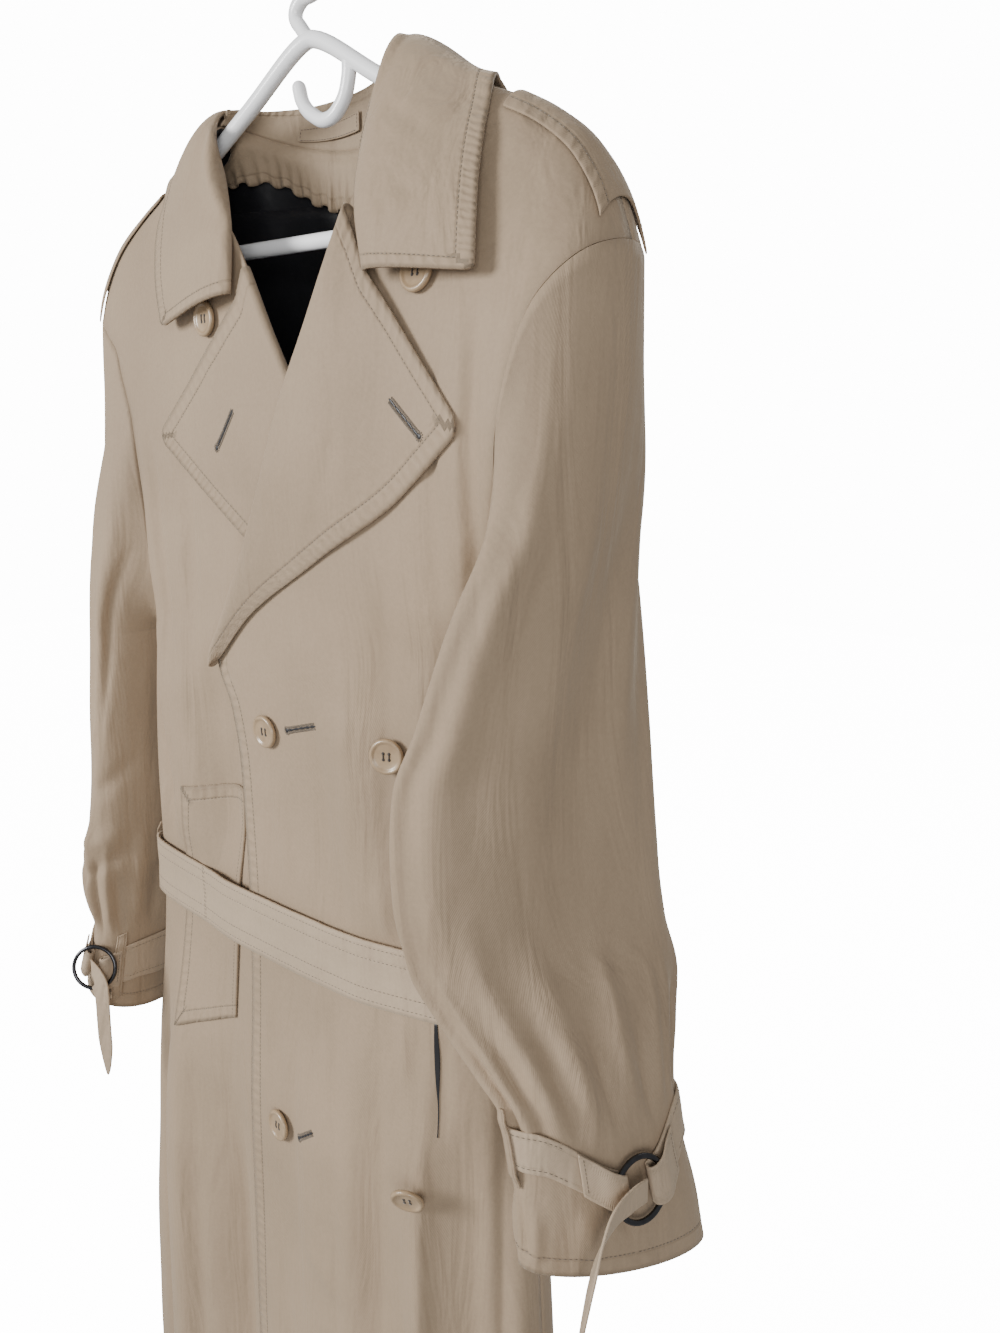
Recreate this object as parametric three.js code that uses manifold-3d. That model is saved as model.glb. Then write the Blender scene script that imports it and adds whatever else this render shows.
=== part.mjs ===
// A double-breasted trench coat, open at the neck, hanging on a tubular plastic hanger.
// Millimetres, +Z up. The origin is the inner crown of the hanger's hook, and every height
// is measured from it. The coat faces -Y, and its left side, as worn, is on +X.
import * as THREE from 'three';
import Module from 'manifold-3d';
import { mergeVertices } from 'three/addons/utils/BufferGeometryUtils.js';

const { PI, sin, cos, asin, sqrt, abs, min, max } = Math;

// Driving dimensions.
const CLOTH = 1.6; // a layer of gabardine with its facing
const DOUBLE = 2.0; // two layers sewn together, as in the collar and straps
const LINING = 1.0;
const GAP = 0.3; // clearance at every seam
const REST = 0.5; // clearance of what lies on a panel
const HEM = -1290;
const ARMPIT = -450;
const SHOULDER_TIP = { left: -207, right: -214 };
const SHOULDER_HALF = 238;
const NECK_HALF = 86;
const NECK_HEIGHT = -101; // neck end of the shoulder seam
const NAPE = -120;
const RIDGE_DROP = 170; // below this drop the shoulder has its full depth
const SQUARENESS = 2.6; // how square the body's section is at its sides
const BREAK = -467; // where the left lapel starts to turn
const FOLD_RADIUS = { left: 3, right: 2 }; // how tightly each lapel is turned
const BELT = { height: -659, width: 46, thickness: 2.2, stand: 5.6 };
const STRAP = { width: 26, thickness: 2, clearance: 1, gap: 9, tail: { left: 24, right: 18 } };
const BUTTON = { diameter: 23.5, thickness: 4, rim: 2.2 };
const RING = { radius: 17.6, wire: 1.7, stand: 1.2 };
const EPAULETTE = {
  left: { from: 166, to: 231, middle: 0, half: 18, wide: 28 },
  right: { from: 150, to: 230, middle: 11, half: 18, wide: 21 },
};
const HOOK_TUBE = 4.6;
const HANGER_TUBE = 5.25;

const COLOUR = {
  gabardine: 0xa3967f,
  lining: 0x101012,
  horn: 0xc9b79a,
  gunmetal: 0x2c2d30,
  plastic: 0xf2f2f0,
};

const wasm = await Module();
wasm.setup();

const coat = new THREE.Group();
const vec = (x, y, z) => new THREE.Vector3(x, y, z);
const mix = (a, b, t) => a + (b - a) * t;
const clamp = (t) => min(1, max(0, t));
const smooth = (t) => clamp(t) ** 2 * (3 - 2 * clamp(t));
const steps = (count) => Array.from({ length: count + 1 }, (_, i) => i / count);

// A short table: the first column is the key, the others are read by name at any key.
function table(names, rows) {
  const keys = rows.map((row) => row[0]);
  const columns = {};
  names.slice(1).forEach((name, k) => {
    const values = rows.map((row) => row[k + 1]);
    columns[name] = (key) => curveAt(keys, values, key);
  });
  return columns;
}

// Cubic through the rows, level beyond the two ends and at each peak and flat.
function curveAt(keys, values, key) {
  const last = keys.length - 1;
  if (key <= keys[0]) return values[0];
  if (key >= keys[last]) return values[last];
  let i = 0;
  while (key > keys[i + 1]) i += 1;
  const slope = (k) => {
    const a = max(0, k - 1);
    const b = min(last, k + 1);
    if ((values[k] - values[a]) * (values[b] - values[k]) < 0) return 0;
    if (k > 0 && k < last && (values[k] === values[a] || values[k] === values[b])) return 0;
    return (values[b] - values[a]) / (keys[b] - keys[a]);
  };
  const span = keys[i + 1] - keys[i];
  const t = (key - keys[i]) / span;
  const rise = values[i + 1] - values[i];
  const start = slope(i) * span - rise;
  const end = rise - slope(i + 1) * span;
  return mix(values[i], values[i + 1], t) + t * (1 - t) * (start * (1 - t) + end * t);
}

// ---------------------------------------------------------------- the body's form

// Side edges of the body by height. Above the armpit they are the armhole seams.
const SIDES = table(['height', 'right', 'left'], [
  [HEM, -258, 198],
  [-1050, -250, 192],
  [-820, -224, 182],
  [-720, -208, 172],
  [-659, -203, 163],
  [-590, -203, 165],
  [-520, -200, 171],
  [ARMPIT, -192, 178],
  [-405, -186, 184],
  [-350, -182, 190],
  [-300, -184, 198],
  [-262, -198, 206],
  [-243, -206, 212],
  [-231, -220, 219],
  [-214, -SHOULDER_HALF, 232],
  [SHOULDER_TIP.left, -SHOULDER_HALF, SHOULDER_HALF],
]);

// Depth of the front and back at the middle, how far the front comes forward towards the
// left side, and how much the panels wrap round to the side seam.
const DEPTH = table(['height', 'front', 'back', 'turn', 'wrap'], [
  [HEM, -46, 62, 0.07, 1],
  [-820, -43, 57, 0.07, 1],
  [-659, -37, 46, 0.08, 1],
  [-520, -39, 49, 0.08, 1],
  [ARMPIT, -40, 50, 0.09, 1],
  [-405, -41, 50, 0.11, 0.5],
  [-350, -42, 50, 0.12, 0.15],
  [-300, -43, 50, 0.12, 0],
  [-230, -43, 49, 0.11, 0],
  [NECK_HEIGHT, -43, 48, 0.06, 0],
]);

// Outline of the shoulder seams, from the neck to the tip. The right one hangs lower.
const SHOULDER = table(['across', 'left', 'right'], [
  [NECK_HALF, NECK_HEIGHT, NECK_HEIGHT],
  [120, -109, -120.5],
  [150, -118, -137],
  [178, -131, -151],
  [200, -145, -164],
  [214, -158, -176],
  [228, -179, -193],
  [SHOULDER_HALF, SHOULDER_TIP.left, SHOULDER_TIP.right],
]);

// Broad folds of the hanging cloth. Reach is the half width, rise is outwards.
const FOLDS = [
  { face: -1, top: -700, bottom: -1400, upper: 112, lower: 122, reach: 20, rise: 13 },
  { face: -1, top: -700, bottom: -1400, upper: 146, lower: 158, reach: 17, rise: -8 },
  { face: -1, top: -690, bottom: -1400, upper: 20, lower: 36, reach: 26, rise: 6 },
  { face: -1, top: -700, bottom: -1400, upper: -96, lower: -112, reach: 26, rise: 6 },
  { face: -1, top: -720, bottom: -1400, upper: -150, lower: -186, reach: 22, rise: 8 },
  { face: -1, top: -470, bottom: -640, upper: 60, lower: 92, reach: 24, rise: 5 },
  { face: -1, top: -470, bottom: -640, upper: -150, lower: -128, reach: 20, rise: 4 },
  { face: 1, top: -690, bottom: -1400, upper: -60, lower: -84, reach: 34, rise: 10 },
  { face: 1, top: -690, bottom: -1400, upper: 48, lower: 70, reach: 34, rise: 10 },
  { face: 1, top: -690, bottom: -1400, upper: 118, lower: 140, reach: 26, rise: -8 },
  { face: 1, top: -690, bottom: -1400, upper: -132, lower: -170, reach: 28, rise: -8 },
  { face: 1, top: -480, bottom: -640, upper: -40, lower: -20, reach: 30, rise: 6 },
  { face: 1, top: -480, bottom: -640, upper: 70, lower: 60, reach: 28, rise: 5 },
];

function neckTop(x) {
  const across = abs(x);
  if (across >= NECK_HALF) return x > 0 ? SHOULDER.left(across) : SHOULDER.right(across);
  return mix(NAPE, NECK_HEIGHT, (across / NECK_HALF) ** 2);
}

// Height at which the front and back would meet over the shoulder.
function ridge(x) {
  const inside = max(0, 1 - (x / NECK_HALF) ** 2);
  return neckTop(x) + RIDGE_DROP * (2 / PI) * asin(inside);
}

function crown(x, z) {
  const drop = (ridge(x) - z) / RIDGE_DROP;
  return sqrt(sin(clamp(drop) * PI / 2));
}

function foldRise(face, x, z) {
  let rise = 0;
  for (const fold of FOLDS) {
    if (fold.face !== face || z > fold.top || z < fold.bottom) continue;
    const along = (fold.top - z) / (fold.top - fold.bottom);
    const middle = mix(fold.upper, fold.lower, along);
    const ends = smooth(min(along, 1 - along) * 5);
    rise += fold.rise * ends * smooth(1 - abs(x - middle) / (2 * fold.reach));
  }
  return rise;
}

function panelDepth(face, x, z) {
  const left = SIDES.left(z);
  const right = SIDES.right(z);
  const s = min(1, abs(2 * x - left - right) / (left - right));
  const round = (1 - s ** SQUARENESS) ** (1 / SQUARENESS);
  const profile = 1 - DEPTH.wrap(z) * (1 - round);
  const full = face < 0 ? DEPTH.front(z) - DEPTH.turn(z) * x : DEPTH.back(z);
  const edge = smooth((1 - s) * 6);
  return (full * profile + face * edge * foldRise(face, x, z)) * crown(x, z);
}

// The left front lies over the right one.
const OVERLAP = table(['height', 'lift'], [
  [HEM, 4.6],
  [-540, 4.6],
  [-450, 9.5],
  [-250, 9.5],
  [-180, 6],
  [-135, 2],
  [NECK_HEIGHT, 0],
]);

function overlapLift(x, z) {
  return OVERLAP.lift(z) * (1 - smooth((x - 60) / 60));
}

const frontPoint = {
  left: (x, z) => vec(x, panelDepth(-1, x, z) - overlapLift(x, z) - GAP / 2, z),
  right: (x, z) => vec(x, panelDepth(-1, x, z) - GAP / 2, z),
};

const backPoint = (x, z) => vec(x, panelDepth(1, x, z) + GAP / 2, z);

// Outward direction of a front at a place on it.
function frontNormal(side, x, z, reach = 3) {
  const across = frontPoint[side](x + reach, z).sub(frontPoint[side](x - reach, z));
  const up = frontPoint[side](x, z + reach).sub(frontPoint[side](x, z - reach));
  return across.cross(up).normalize();
}

// ---------------------------------------------------------------- walls of cloth

function gridNormals(grid, closed, flip) {
  const rows = grid.length;
  const count = grid[0].length;
  return grid.map((row, j) => row.map((_, i) => {
    const before = closed ? (i + count - 1) % count : max(0, i - 1);
    const after = closed ? (i + 1) % count : min(count - 1, i + 1);
    const along = row[after].clone().sub(row[before]);
    const upper = grid[min(rows - 1, j + 1)][i];
    const up = upper.clone().sub(grid[max(0, j - 1)][i]);
    const normal = along.cross(up).normalize();
    return flip ? normal.negate() : normal;
  }));
}

function meshOf(name, colour, geometry, finish = {}) {
  const material = new THREE.MeshStandardMaterial({ color: colour, roughness: 0.75, metalness: 0, ...finish });
  const mesh = new THREE.Mesh(geometry, material);
  mesh.name = name;
  coat.add(mesh);
  return mesh;
}

// A closed wall: the grid is its outer face, and its inner face lies one thickness behind.
function wall(name, grid, options = {}) {
  const { thickness = CLOTH, closed = false, flip = false, colour = COLOUR.gabardine, finish } = options;
  const directions = options.directions ?? gridNormals(grid, closed, flip);
  const rows = grid.length;
  const count = grid[0].length;
  const points = [];
  for (const depth of [0, thickness]) {
    grid.forEach((row, j) => row.forEach((point, i) => {
      const placed = point.clone().addScaledVector(directions[j][i], -depth);
      points.push(placed.x, placed.y, placed.z);
    }));
  }
  const at = (layer, j, i) => layer * rows * count + j * count + (i % count);
  const faces = [];
  const quad = (a, b, c, d) => faces.push(a, b, c, a, c, d);
  const across = closed ? count : count - 1;
  for (let j = 0; j < rows - 1; j += 1) {
    for (let i = 0; i < across; i += 1) {
      quad(at(0, j, i), at(0, j, i + 1), at(0, j + 1, i + 1), at(0, j + 1, i));
      quad(at(1, j, i), at(1, j + 1, i), at(1, j + 1, i + 1), at(1, j, i + 1));
    }
    if (!closed) {
      quad(at(0, j, 0), at(0, j + 1, 0), at(1, j + 1, 0), at(1, j, 0));
      quad(at(0, j + 1, count - 1), at(0, j, count - 1), at(1, j, count - 1), at(1, j + 1, count - 1));
    }
  }
  for (let i = 0; i < across; i += 1) {
    quad(at(0, 0, i + 1), at(0, 0, i), at(1, 0, i), at(1, 0, i + 1));
    const top = rows - 1;
    quad(at(0, top, i), at(0, top, i + 1), at(1, top, i + 1), at(1, top, i));
  }
  if (flip) faces.reverse();
  const geometry = new THREE.BufferGeometry();
  geometry.setAttribute('position', new THREE.Float32BufferAttribute(points, 3));
  geometry.setIndex(faces);
  return meshOf(name, colour, geometry, finish);
}

// ---------------------------------------------------------------- fronts, back, sleeves

// Inner edge of each front by height: front edge, then roll line, then neckline.
const INNER = {
  left: table(['height', 'across'], [
    [HEM, -60],
    [-940, -58],
    [-560, -54],
    [-495, -60],
    [BREAK, -71],
    [-432, -51],
    [-383, -20],
    [-290, 29],
    [-230, 66],
    [-178, 82],
    [-135, 88],
    [NECK_HEIGHT, NECK_HALF],
  ]),
  right: table(['height', 'across'], [
    [HEM, 50],
    [-430, 50],
    [-350, 47],
    [-289, 27],
    [-243, 0],
    [-191, -29],
    [-165, -48],
    [-140, -64],
    [-120, -78],
    [NECK_HEIGHT, -NECK_HALF],
  ]),
};

const LOWER_HEIGHTS = [HEM, -1200, -1110, -1020, -930, -850, -780, -725, -690, -659, -628, -585,
  -540, -500, BREAK];
// Heights of the upper rows at the inner edge. One is where the lapel's top meets the roll.
const LAPEL_TOP = { left: -182, right: -205 };
const UPPER_HEIGHTS = {
  left: [ARMPIT, -400, -345, -290, -235, LAPEL_TOP.left, -145, -120, -107, NECK_HEIGHT],
  right: [ARMPIT, -405, -350, -300, -250, LAPEL_TOP.right, -160, -125, -107, NECK_HEIGHT],
};
const UPPER_ROWS = UPPER_HEIGHTS.left.length - 1;
const PANEL_COLUMNS = steps(11).map((t) => sin(t * PI / 2));
const BACK_COLUMNS = steps(20).map((t) => sin((2 * t - 1) * PI / 2));

function upperLevels(side) {
  return UPPER_HEIGHTS[side].map((z) => (z - ARMPIT) / (NECK_HEIGHT - ARMPIT));
}

// Rows of a front, from the hem up to the shoulder seam. Each runs from the inner edge out.
function frontGrid(side) {
  const sign = side === 'left' ? 1 : -1;
  const rows = LOWER_HEIGHTS.map((z) => {
    const inner = INNER[side].across(z);
    const outer = SIDES[side](z);
    return PANEL_COLUMNS.map((f) => frontPoint[side](mix(inner, outer, f), z));
  });
  for (const v of upperLevels(side)) {
    const innerHeight = mix(ARMPIT, NECK_HEIGHT, v);
    const outerHeight = mix(ARMPIT, SHOULDER_TIP[side], v);
    const inner = INNER[side].across(innerHeight);
    const outer = SIDES[side](outerHeight);
    rows.push(PANEL_COLUMNS.map((f) => {
      const top = neckTop(sign * mix(NECK_HALF, SHOULDER_HALF, f));
      return frontPoint[side](mix(inner, outer, f), mix(ARMPIT, top, v));
    }));
  }
  return rows;
}

function backGrid() {
  const rows = LOWER_HEIGHTS.map((z) => BACK_COLUMNS.map((f) => {
    const x = mix(SIDES.right(z), SIDES.left(z), (f + 1) / 2);
    return backPoint(x, z);
  }));
  for (const v of upperLevels('left')) {
    const right = SIDES.right(mix(ARMPIT, SHOULDER_TIP.right, v));
    const left = SIDES.left(mix(ARMPIT, SHOULDER_TIP.left, v));
    rows.push(BACK_COLUMNS.map((f) => {
      const x = mix(right, left, (f + 1) / 2);
      return backPoint(x, mix(ARMPIT, neckTop(f * SHOULDER_HALF), v));
    }));
  }
  return rows;
}

// Seams are mitred: at the side seam a wall is thick across, at the shoulder seam upwards.
function shoulderDirection(x) {
  const step = 2;
  const across = min(SHOULDER_HALF - step, abs(x));
  const outline = x > 0 ? SHOULDER.left : SHOULDER.right;
  const slope = (outline(across + step) - outline(across - step)) / (2 * step);
  return vec(-slope * Math.sign(x), 0, 1).normalize();
}

function seamDirections(grid, directions, column, sign) {
  const top = grid.length - 1;
  for (let j = 0; j <= LOWER_HEIGHTS.length; j += 1) directions[j][column].set(sign, 0, 0);
  grid[top].forEach((point, i) => {
    if (abs(point.x) > NECK_HALF - 1) directions[top][i].copy(shoulderDirection(point.x));
  });
}

const grids = { left: frontGrid('left'), right: frontGrid('right'), back: backGrid() };
const directions = {
  left: gridNormals(grids.left, false, false),
  right: gridNormals(grids.right, false, true),
  back: gridNormals(grids.back, false, true),
};
const lastColumn = PANEL_COLUMNS.length - 1;
const lastBack = BACK_COLUMNS.length - 1;
seamDirections(grids.left, directions.left, lastColumn, 1);
seamDirections(grids.right, directions.right, lastColumn, -1);
seamDirections(grids.back, directions.back, lastBack, 1);
seamDirections(grids.back, directions.back, 0, -1);

// Sections of a hanging sleeve below the armpit and the virtual ones above it. Heading turns
// the flat of the sleeve from the coat's depth towards its left; slope drops its back
// edge and lean lifts its outer face.
const SLEEVE = {
  left: table(['height', 'across', 'depth', 'half', 'thick', 'heading', 'slope', 'lean'], [
    [-766, 273, -52, 65, 22, 22, 0.24, 0],
    [-735, 268, -52, 62, 23, 22, 0.2, 0],
    [-712, 262, -51, 58, 23, 22, 0.15, 0],
    [-699, 259, -51, 57, 23, 22, 0.13, 0],
    [-684, 256, -51, 57, 23, 22, 0.1, 0],
    [-668, 250, -50, 59, 25, 22, 0.06, 0],
    [-650, 241, -46, 65, 27, 24, 0, 0],
    [-625, 224, -38, 77, 28, 26, 0, 0],
    [-600, 210, -36, 84, 27, 27, 0, 0],
    [-563, 204, -39, 86, 25, 27, 0, 0],
    [-500, 200, -38, 84, 23, 25, 0, 0],
    [-463, 203, -32, 81, 22, 17.5, 0, 0],
    [-400, 205, -21, 77, 24, 8, 0, 0],
    [-355, 206, -10, 72, 26, 0, 0, 0],
    [-280, 208, 0, 62, 28, 0, 0, 0],
    [-207, 212, 0, 50, 28, 0, 0, 0],
  ]),
  right: table(['height', 'across', 'depth', 'half', 'thick', 'heading', 'slope', 'lean'], [
    [-776, -251, -2, 59, 23, -10, 0.05, 1],
    [-754, -251, 1, 58, 23, -10, 0.04, 0.8],
    [-738, -251, 4, 56, 22, -10, 0.02, 0.55],
    [-722, -250, 7, 56, 23, -10, 0, 0.35],
    [-704, -250, 10, 61, 25, -9, 0, 0.18],
    [-684, -251, 16, 69, 29, -8, 0, 0],
    [-655, -249, 22, 75, 31, -8, 0, 0],
    [-620, -247, 26, 75, 30, -8, 0, 0],
    [-563, -242, 29, 74, 28, -8, 0, 0],
    [-463, -234, 28, 68, 27, -6, 0, 0],
    [-400, -228, 28, 66, 27, -3, 0, 0],
    [-355, -222, 24, 64, 27, 0, 0, 0],
    [-280, -214, 14, 58, 27, 0, 0, 0],
    [-214, -212, 0, 50, 27, 0, 0, 0],
  ]),
};
const ARMPIT_TURN = { left: 197, right: 158 }; // where the armpit lies round each sleeve

// Large creases of a sleeve: turn is where they lie round it, in the sleeve's own angle.
const SLEEVE_FOLDS = [
  { turn: 35, spread: 22, top: -300, bottom: -690, rise: 4 },
  { turn: 78, spread: 16, top: -380, bottom: -640, rise: -4 },
  { turn: 330, spread: 26, top: -330, bottom: -700, rise: -4 },
];

// A place on a sleeve. Turn 0 faces outwards, 90 forwards, 180 the body, 270 backwards.
function sleevePoint(side, turn, z, out = 0) {
  const sign = side === 'left' ? 1 : -1;
  const row = SLEEVE[side];
  const angle = turn * PI / 180;
  const heading = row.heading(z) * PI / 180;
  let rise = out;
  for (const fold of SLEEVE_FOLDS) {
    const off = abs((turn - fold.turn + 540) % 360 - 180);
    const along = clamp((fold.top - z) / (fold.top - fold.bottom));
    rise += fold.rise * sin(along * PI) * smooth(1 - off / (2 * fold.spread));
  }
  const flat = (row.half(z) + rise) * -sin(angle);
  const thick = (row.thick(z) + rise) * cos(angle) * sign;
  return vec(
    row.across(z) + flat * sin(heading) + thick * cos(heading),
    row.depth(z) + flat * cos(heading) - thick * sin(heading),
    z - row.slope(z) * flat + row.lean(z) * thick * sign,
  );
}

const SLEEVE_HEIGHTS = {
  left: [-463, -505, -550, -590, -620, -640, -655, -668, -682, -699, -715, -735, -752, -766],
  right: [-463, -510, -560, -610, -645, -668, -686, -702, -718, -734, -748, -762, -776],
};
const CAP_ROWS = 6;
const SEAM_STEP = vec(0.42, 0, -0.38); // across the armhole seam, out of the body

function armholeRing(side, column) {
  const base = LOWER_HEIGHTS.length;
  const ring = [];
  const normals = [];
  const take = (grid, dirs, j, i) => {
    const step = SEAM_STEP.clone();
    if (side === 'right') step.x *= -1;
    ring.push(grid[base + j][i].clone().add(step));
    normals.push(dirs[base + j][i]);
  };
  for (let j = UPPER_ROWS; j >= 0; j -= 1) take(grids[side], directions[side], j, lastColumn);
  for (let j = 1; j < UPPER_ROWS; j += 1) take(grids.back, directions.back, j, column);
  return { ring, normals };
}

function makeSleeve(side, backColumn) {
  const { ring, normals } = armholeRing(side, backColumn);
  const count = ring.length;
  const half = ARMPIT_TURN[side];
  const turns = ring.map((_, i) => (i <= UPPER_ROWS
    ? (i * half) / UPPER_ROWS
    : half + ((i - UPPER_ROWS) * (360 - half)) / (count - UPPER_ROWS)));
  const rows = [];
  for (const k of steps(CAP_ROWS)) {
    const spread = 1 - (1 - k) ** 2;
    rows.push(ring.map((point, i) => {
      const z = mix(point.z, SLEEVE_HEIGHTS[side][0], k);
      const target = sleevePoint(side, turns[i], z);
      return vec(mix(point.x, target.x, spread), mix(point.y, target.y, spread), z);
    }));
  }
  for (const z of SLEEVE_HEIGHTS[side].slice(1)) rows.push(turns.map((turn) => sleevePoint(side, turn, z)));
  const flip = side === 'right';
  const dirs = gridNormals(rows, true, flip);
  // Both walls at the seam share one direction where the cloth runs on over it.
  dirs[0].forEach((direction, i) => {
    if (direction.dot(normals[i]) < 0.3) return;
    direction.add(normals[i]).normalize();
    normals[i].copy(direction);
  });
  wall(`sleeve_${side}`, rows, { closed: true, flip, directions: dirs });
}

makeSleeve('left', lastBack);
makeSleeve('right', 0);
wall('front_left', grids.left, { directions: directions.left });
wall('front_right', grids.right, { directions: directions.right, flip: true });
wall('back', grids.back, { directions: directions.back, flip: true });


// ---------------------------------------------------------------- lapels

// Outer edge of each lapel, from its peak to the break, and how far the top edge is drawn in
// at the notch, where the collar ends.
const LAPEL_EDGE = {
  left: table(['along', 'across', 'height'], [
    [0, 175, -305],
    [0.3, 112, -351],
    [0.6, 45, -389],
    [0.85, -22, -426],
    [1, -65, -463],
  ]),
  right: table(['along', 'across', 'height'], [
    [0, -142, -308],
    [0.35, -84, -347],
    [0.7, -20, -387],
    [1, 26, -416],
  ]),
};
const LAPEL_BREAK = { left: BREAK, right: UPPER_HEIGHTS.right[1] };
const NOTCH = {
  left: { at: 0.28, shift: vec(-7, 0, -2) },
  right: { at: 0.12, shift: vec(6, 0, -4.5) },
};
const LAPEL_COLUMNS = [0.12, 0.28, 0.5, 0.75, 1];

// One row of a lapel: half a turn round the roll, then out to the edge.
function lapelRow(side, height) {
  const radius = FOLD_RADIUS[side];
  const v = (LAPEL_TOP[side] - height) / (LAPEL_TOP[side] - LAPEL_BREAK[side]);
  const roll = frontPoint[side](INNER[side].across(height), height);
  const edge = LAPEL_EDGE[side];
  const across = vec(edge.across(v) - roll.x, 0, edge.height(v) - roll.z);
  const span = across.length();
  across.normalize();
  const row = [];
  const normals = [];
  for (const degrees of [0, 45, 90, 135, 180]) {
    const angle = degrees * PI / 180;
    const back = GAP + (radius + CLOTH) * sin(angle);
    const out = radius - (radius + CLOTH) * cos(angle);
    row.push(vec(roll.x - across.x * back, roll.y - out, roll.z - across.z * back));
    normals.push(vec(-across.x * sin(angle), cos(angle), -across.z * sin(angle)));
  }
  const { at, shift } = NOTCH[side];
  for (const f of LAPEL_COLUMNS) {
    const drawn = min(f / at, (1 - f) / (1 - at)) * (1 - smooth(v / 0.35));
    const x = roll.x + across.x * span * f + shift.x * drawn;
    const z = roll.z + across.z * span * f + shift.z * drawn;
    const place = frontPoint[side](x, z);
    place.y -= mix(2 * radius + CLOTH, CLOTH + 3 * REST, smooth(f));
    row.push(place);
    normals.push(vec(0, -1, 0));
  }
  return { row, normals };
}

for (const side of ['left', 'right']) {
  const heights = [...LOWER_HEIGHTS, ...UPPER_HEIGHTS[side]]
    .filter((z) => z >= LAPEL_BREAK[side] && z <= LAPEL_TOP[side])
    .reverse();
  const rows = heights.map((z) => lapelRow(side, z));
  wall(`lapel_${side}`, rows.map(({ row }) => row), {
    flip: side === 'left',
    directions: rows.map(({ normals }) => normals),
  });
}

// ---------------------------------------------------------------- collar

// Stations run from the left point, round the back of the neck, to the right point. The
// crease is where the leaf turns over the stand.
const COLLAR = table(['station', 'creaseX', 'creaseY', 'creaseZ', 'edgeX', 'edgeY', 'edgeZ'], [
  [0, 103.5, -66, -216, 174, -66, -221],
  [1, 91, -58, -181, 171, -58, -198],
  [2, 82, -42, -146, 167, -46, -170],
  [3, 75, -22, -112, 163, -29, -141],
  [4, 72, 0, -82, 147, 4, -111],
  [5, 64, 24, -69, 132, 36, -123],
  [6, 42, 42, -73, 88, 58, -152],
  [7, 0, 52, -81, 0, 66, -166],
  [8, -42, 45, -86, -88, 60, -164],
  [9, -72, 27, -88, -130, 36, -152],
  [10, -86, 1, -91, -143, 3, -127],
  [11, -75, -16, -112, -138, -16, -150],
  [12, -55, -26, -145, -133, -27, -172],
  [13, -32, -43, -180, -126, -35, -203],
  [14, -29, -49, -219, -117, -39, -234],
]);
const COLLAR_STATIONS = steps(24).map((t) => t * 14);
const LEAF_COLUMNS = [0, 0.06, 0.16, 0.34, 0.56, 0.78, 1];
const LEAF_BULGE = 7;

function crease(station) {
  return vec(COLLAR.creaseX(station), COLLAR.creaseY(station), COLLAR.creaseZ(station));
}

// Height of the shoulder at a depth in front of or behind its ridge.
function shoulderTop(x, y) {
  const level = ridge(x) - 25;
  const full = y < 0 ? DEPTH.front(level) - DEPTH.turn(level) * x : DEPTH.back(level);
  return ridge(x) - RIDGE_DROP * (2 / PI) * asin(min(1, (y / full) ** 2));
}

// Keeps a point of the collar clear of the body, and of the lapel near the neck.
function clearOfBody(point, stand) {
  const inside = abs(point.x) < NECK_HALF * 0.6;
  if (inside && (point.y > 0 || point.z > -125)) return point;
  if (abs(point.y) < 24 && !inside) {
    point.z = max(point.z, shoulderTop(point.x, point.y) + stand * 2);
    return point;
  }
  if (point.z > ridge(point.x)) return point;
  if (point.y > 0) {
    point.y = max(point.y, backPoint(point.x, point.z).y + stand);
    return point;
  }
  const side = point.x > 0 ? 'left' : 'right';
  const lapel = side === 'left'
    ? 8.6 * (1 - smooth((point.x - 100) / 30)) * smooth((-165 - point.z) / 20)
    : 6.6 * (1 - smooth((-point.x - 74) / 26)) * smooth((-170 - point.z) / 20);
  point.y = min(point.y, frontPoint[side](point.x, point.z).y - stand - lapel);
  return point;
}

function leafRow(station) {
  const start = crease(station);
  const edge = vec(COLLAR.edgeX(station), COLLAR.edgeY(station), COLLAR.edgeZ(station));
  const step = 0.2;
  const along = crease(min(14, station + step)).sub(crease(max(0, station - step)));
  const out = edge.clone().sub(start).cross(along).normalize();
  return LEAF_COLUMNS.map((u) => {
    const point = start.clone().lerp(edge, u);
    point.addScaledVector(out, LEAF_BULGE * sin(PI * u ** 0.6));
    return u === 0 ? point : clearOfBody(point, DOUBLE + 3.8 * REST);
  });
}

wall('collar', COLLAR_STATIONS.map(leafRow), { thickness: DOUBLE, flip: false });

// The neck seam, from the left front (p = 1) round the back to the right front (p = -1), and
// how far down each front the stand goes.
const STAND_END = {
  left: { height: -156, station: 5 },
  right: { height: -102, station: 2.9 },
};

function neckSeam(p) {
  const side = p > 0 ? 'left' : 'right';
  if (abs(p) <= 0.5) {
    const x = NECK_HALF * sin(p * PI);
    const seam = backPoint(x, neckTop(x));
    seam.z += 3 * GAP;
    return seam;
  }
  const z = mix(NECK_HEIGHT, STAND_END[side].height, (abs(p) - 0.5) * 2);
  const seam = frontPoint[side](INNER[side].across(z), z);
  const inwards = side === 'left' ? -1 : 1;
  seam.x += inwards * 3 * GAP;
  seam.z += GAP;
  return seam;
}

function standPoint(p, u, depth = 0) {
  const end = p > 0 ? STAND_END.left.station : STAND_END.right.station;
  const steep = max(0, abs(p) - 0.5) * 2;
  const station = 7 - Math.sign(p) * (min(0.5, abs(p)) * 6 + steep * (end - 3));
  const top = crease(station);
  const inwards = vec(-top.x, 8 - top.y, 0).normalize();
  const low = neckSeam(p);
  top.addScaledVector(inwards, DOUBLE + 6 * GAP);
  top.z -= REST;
  return low.lerp(top, u).addScaledVector(inwards, depth - sin(PI * u));
}

const STAND_TURNS = steps(24).map((t) => 1 - 2 * t);
wall('collar_stand', STAND_TURNS.map((p) => [0, 0.5, 1].map((u) => standPoint(p, u))), { flip: true });

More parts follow.
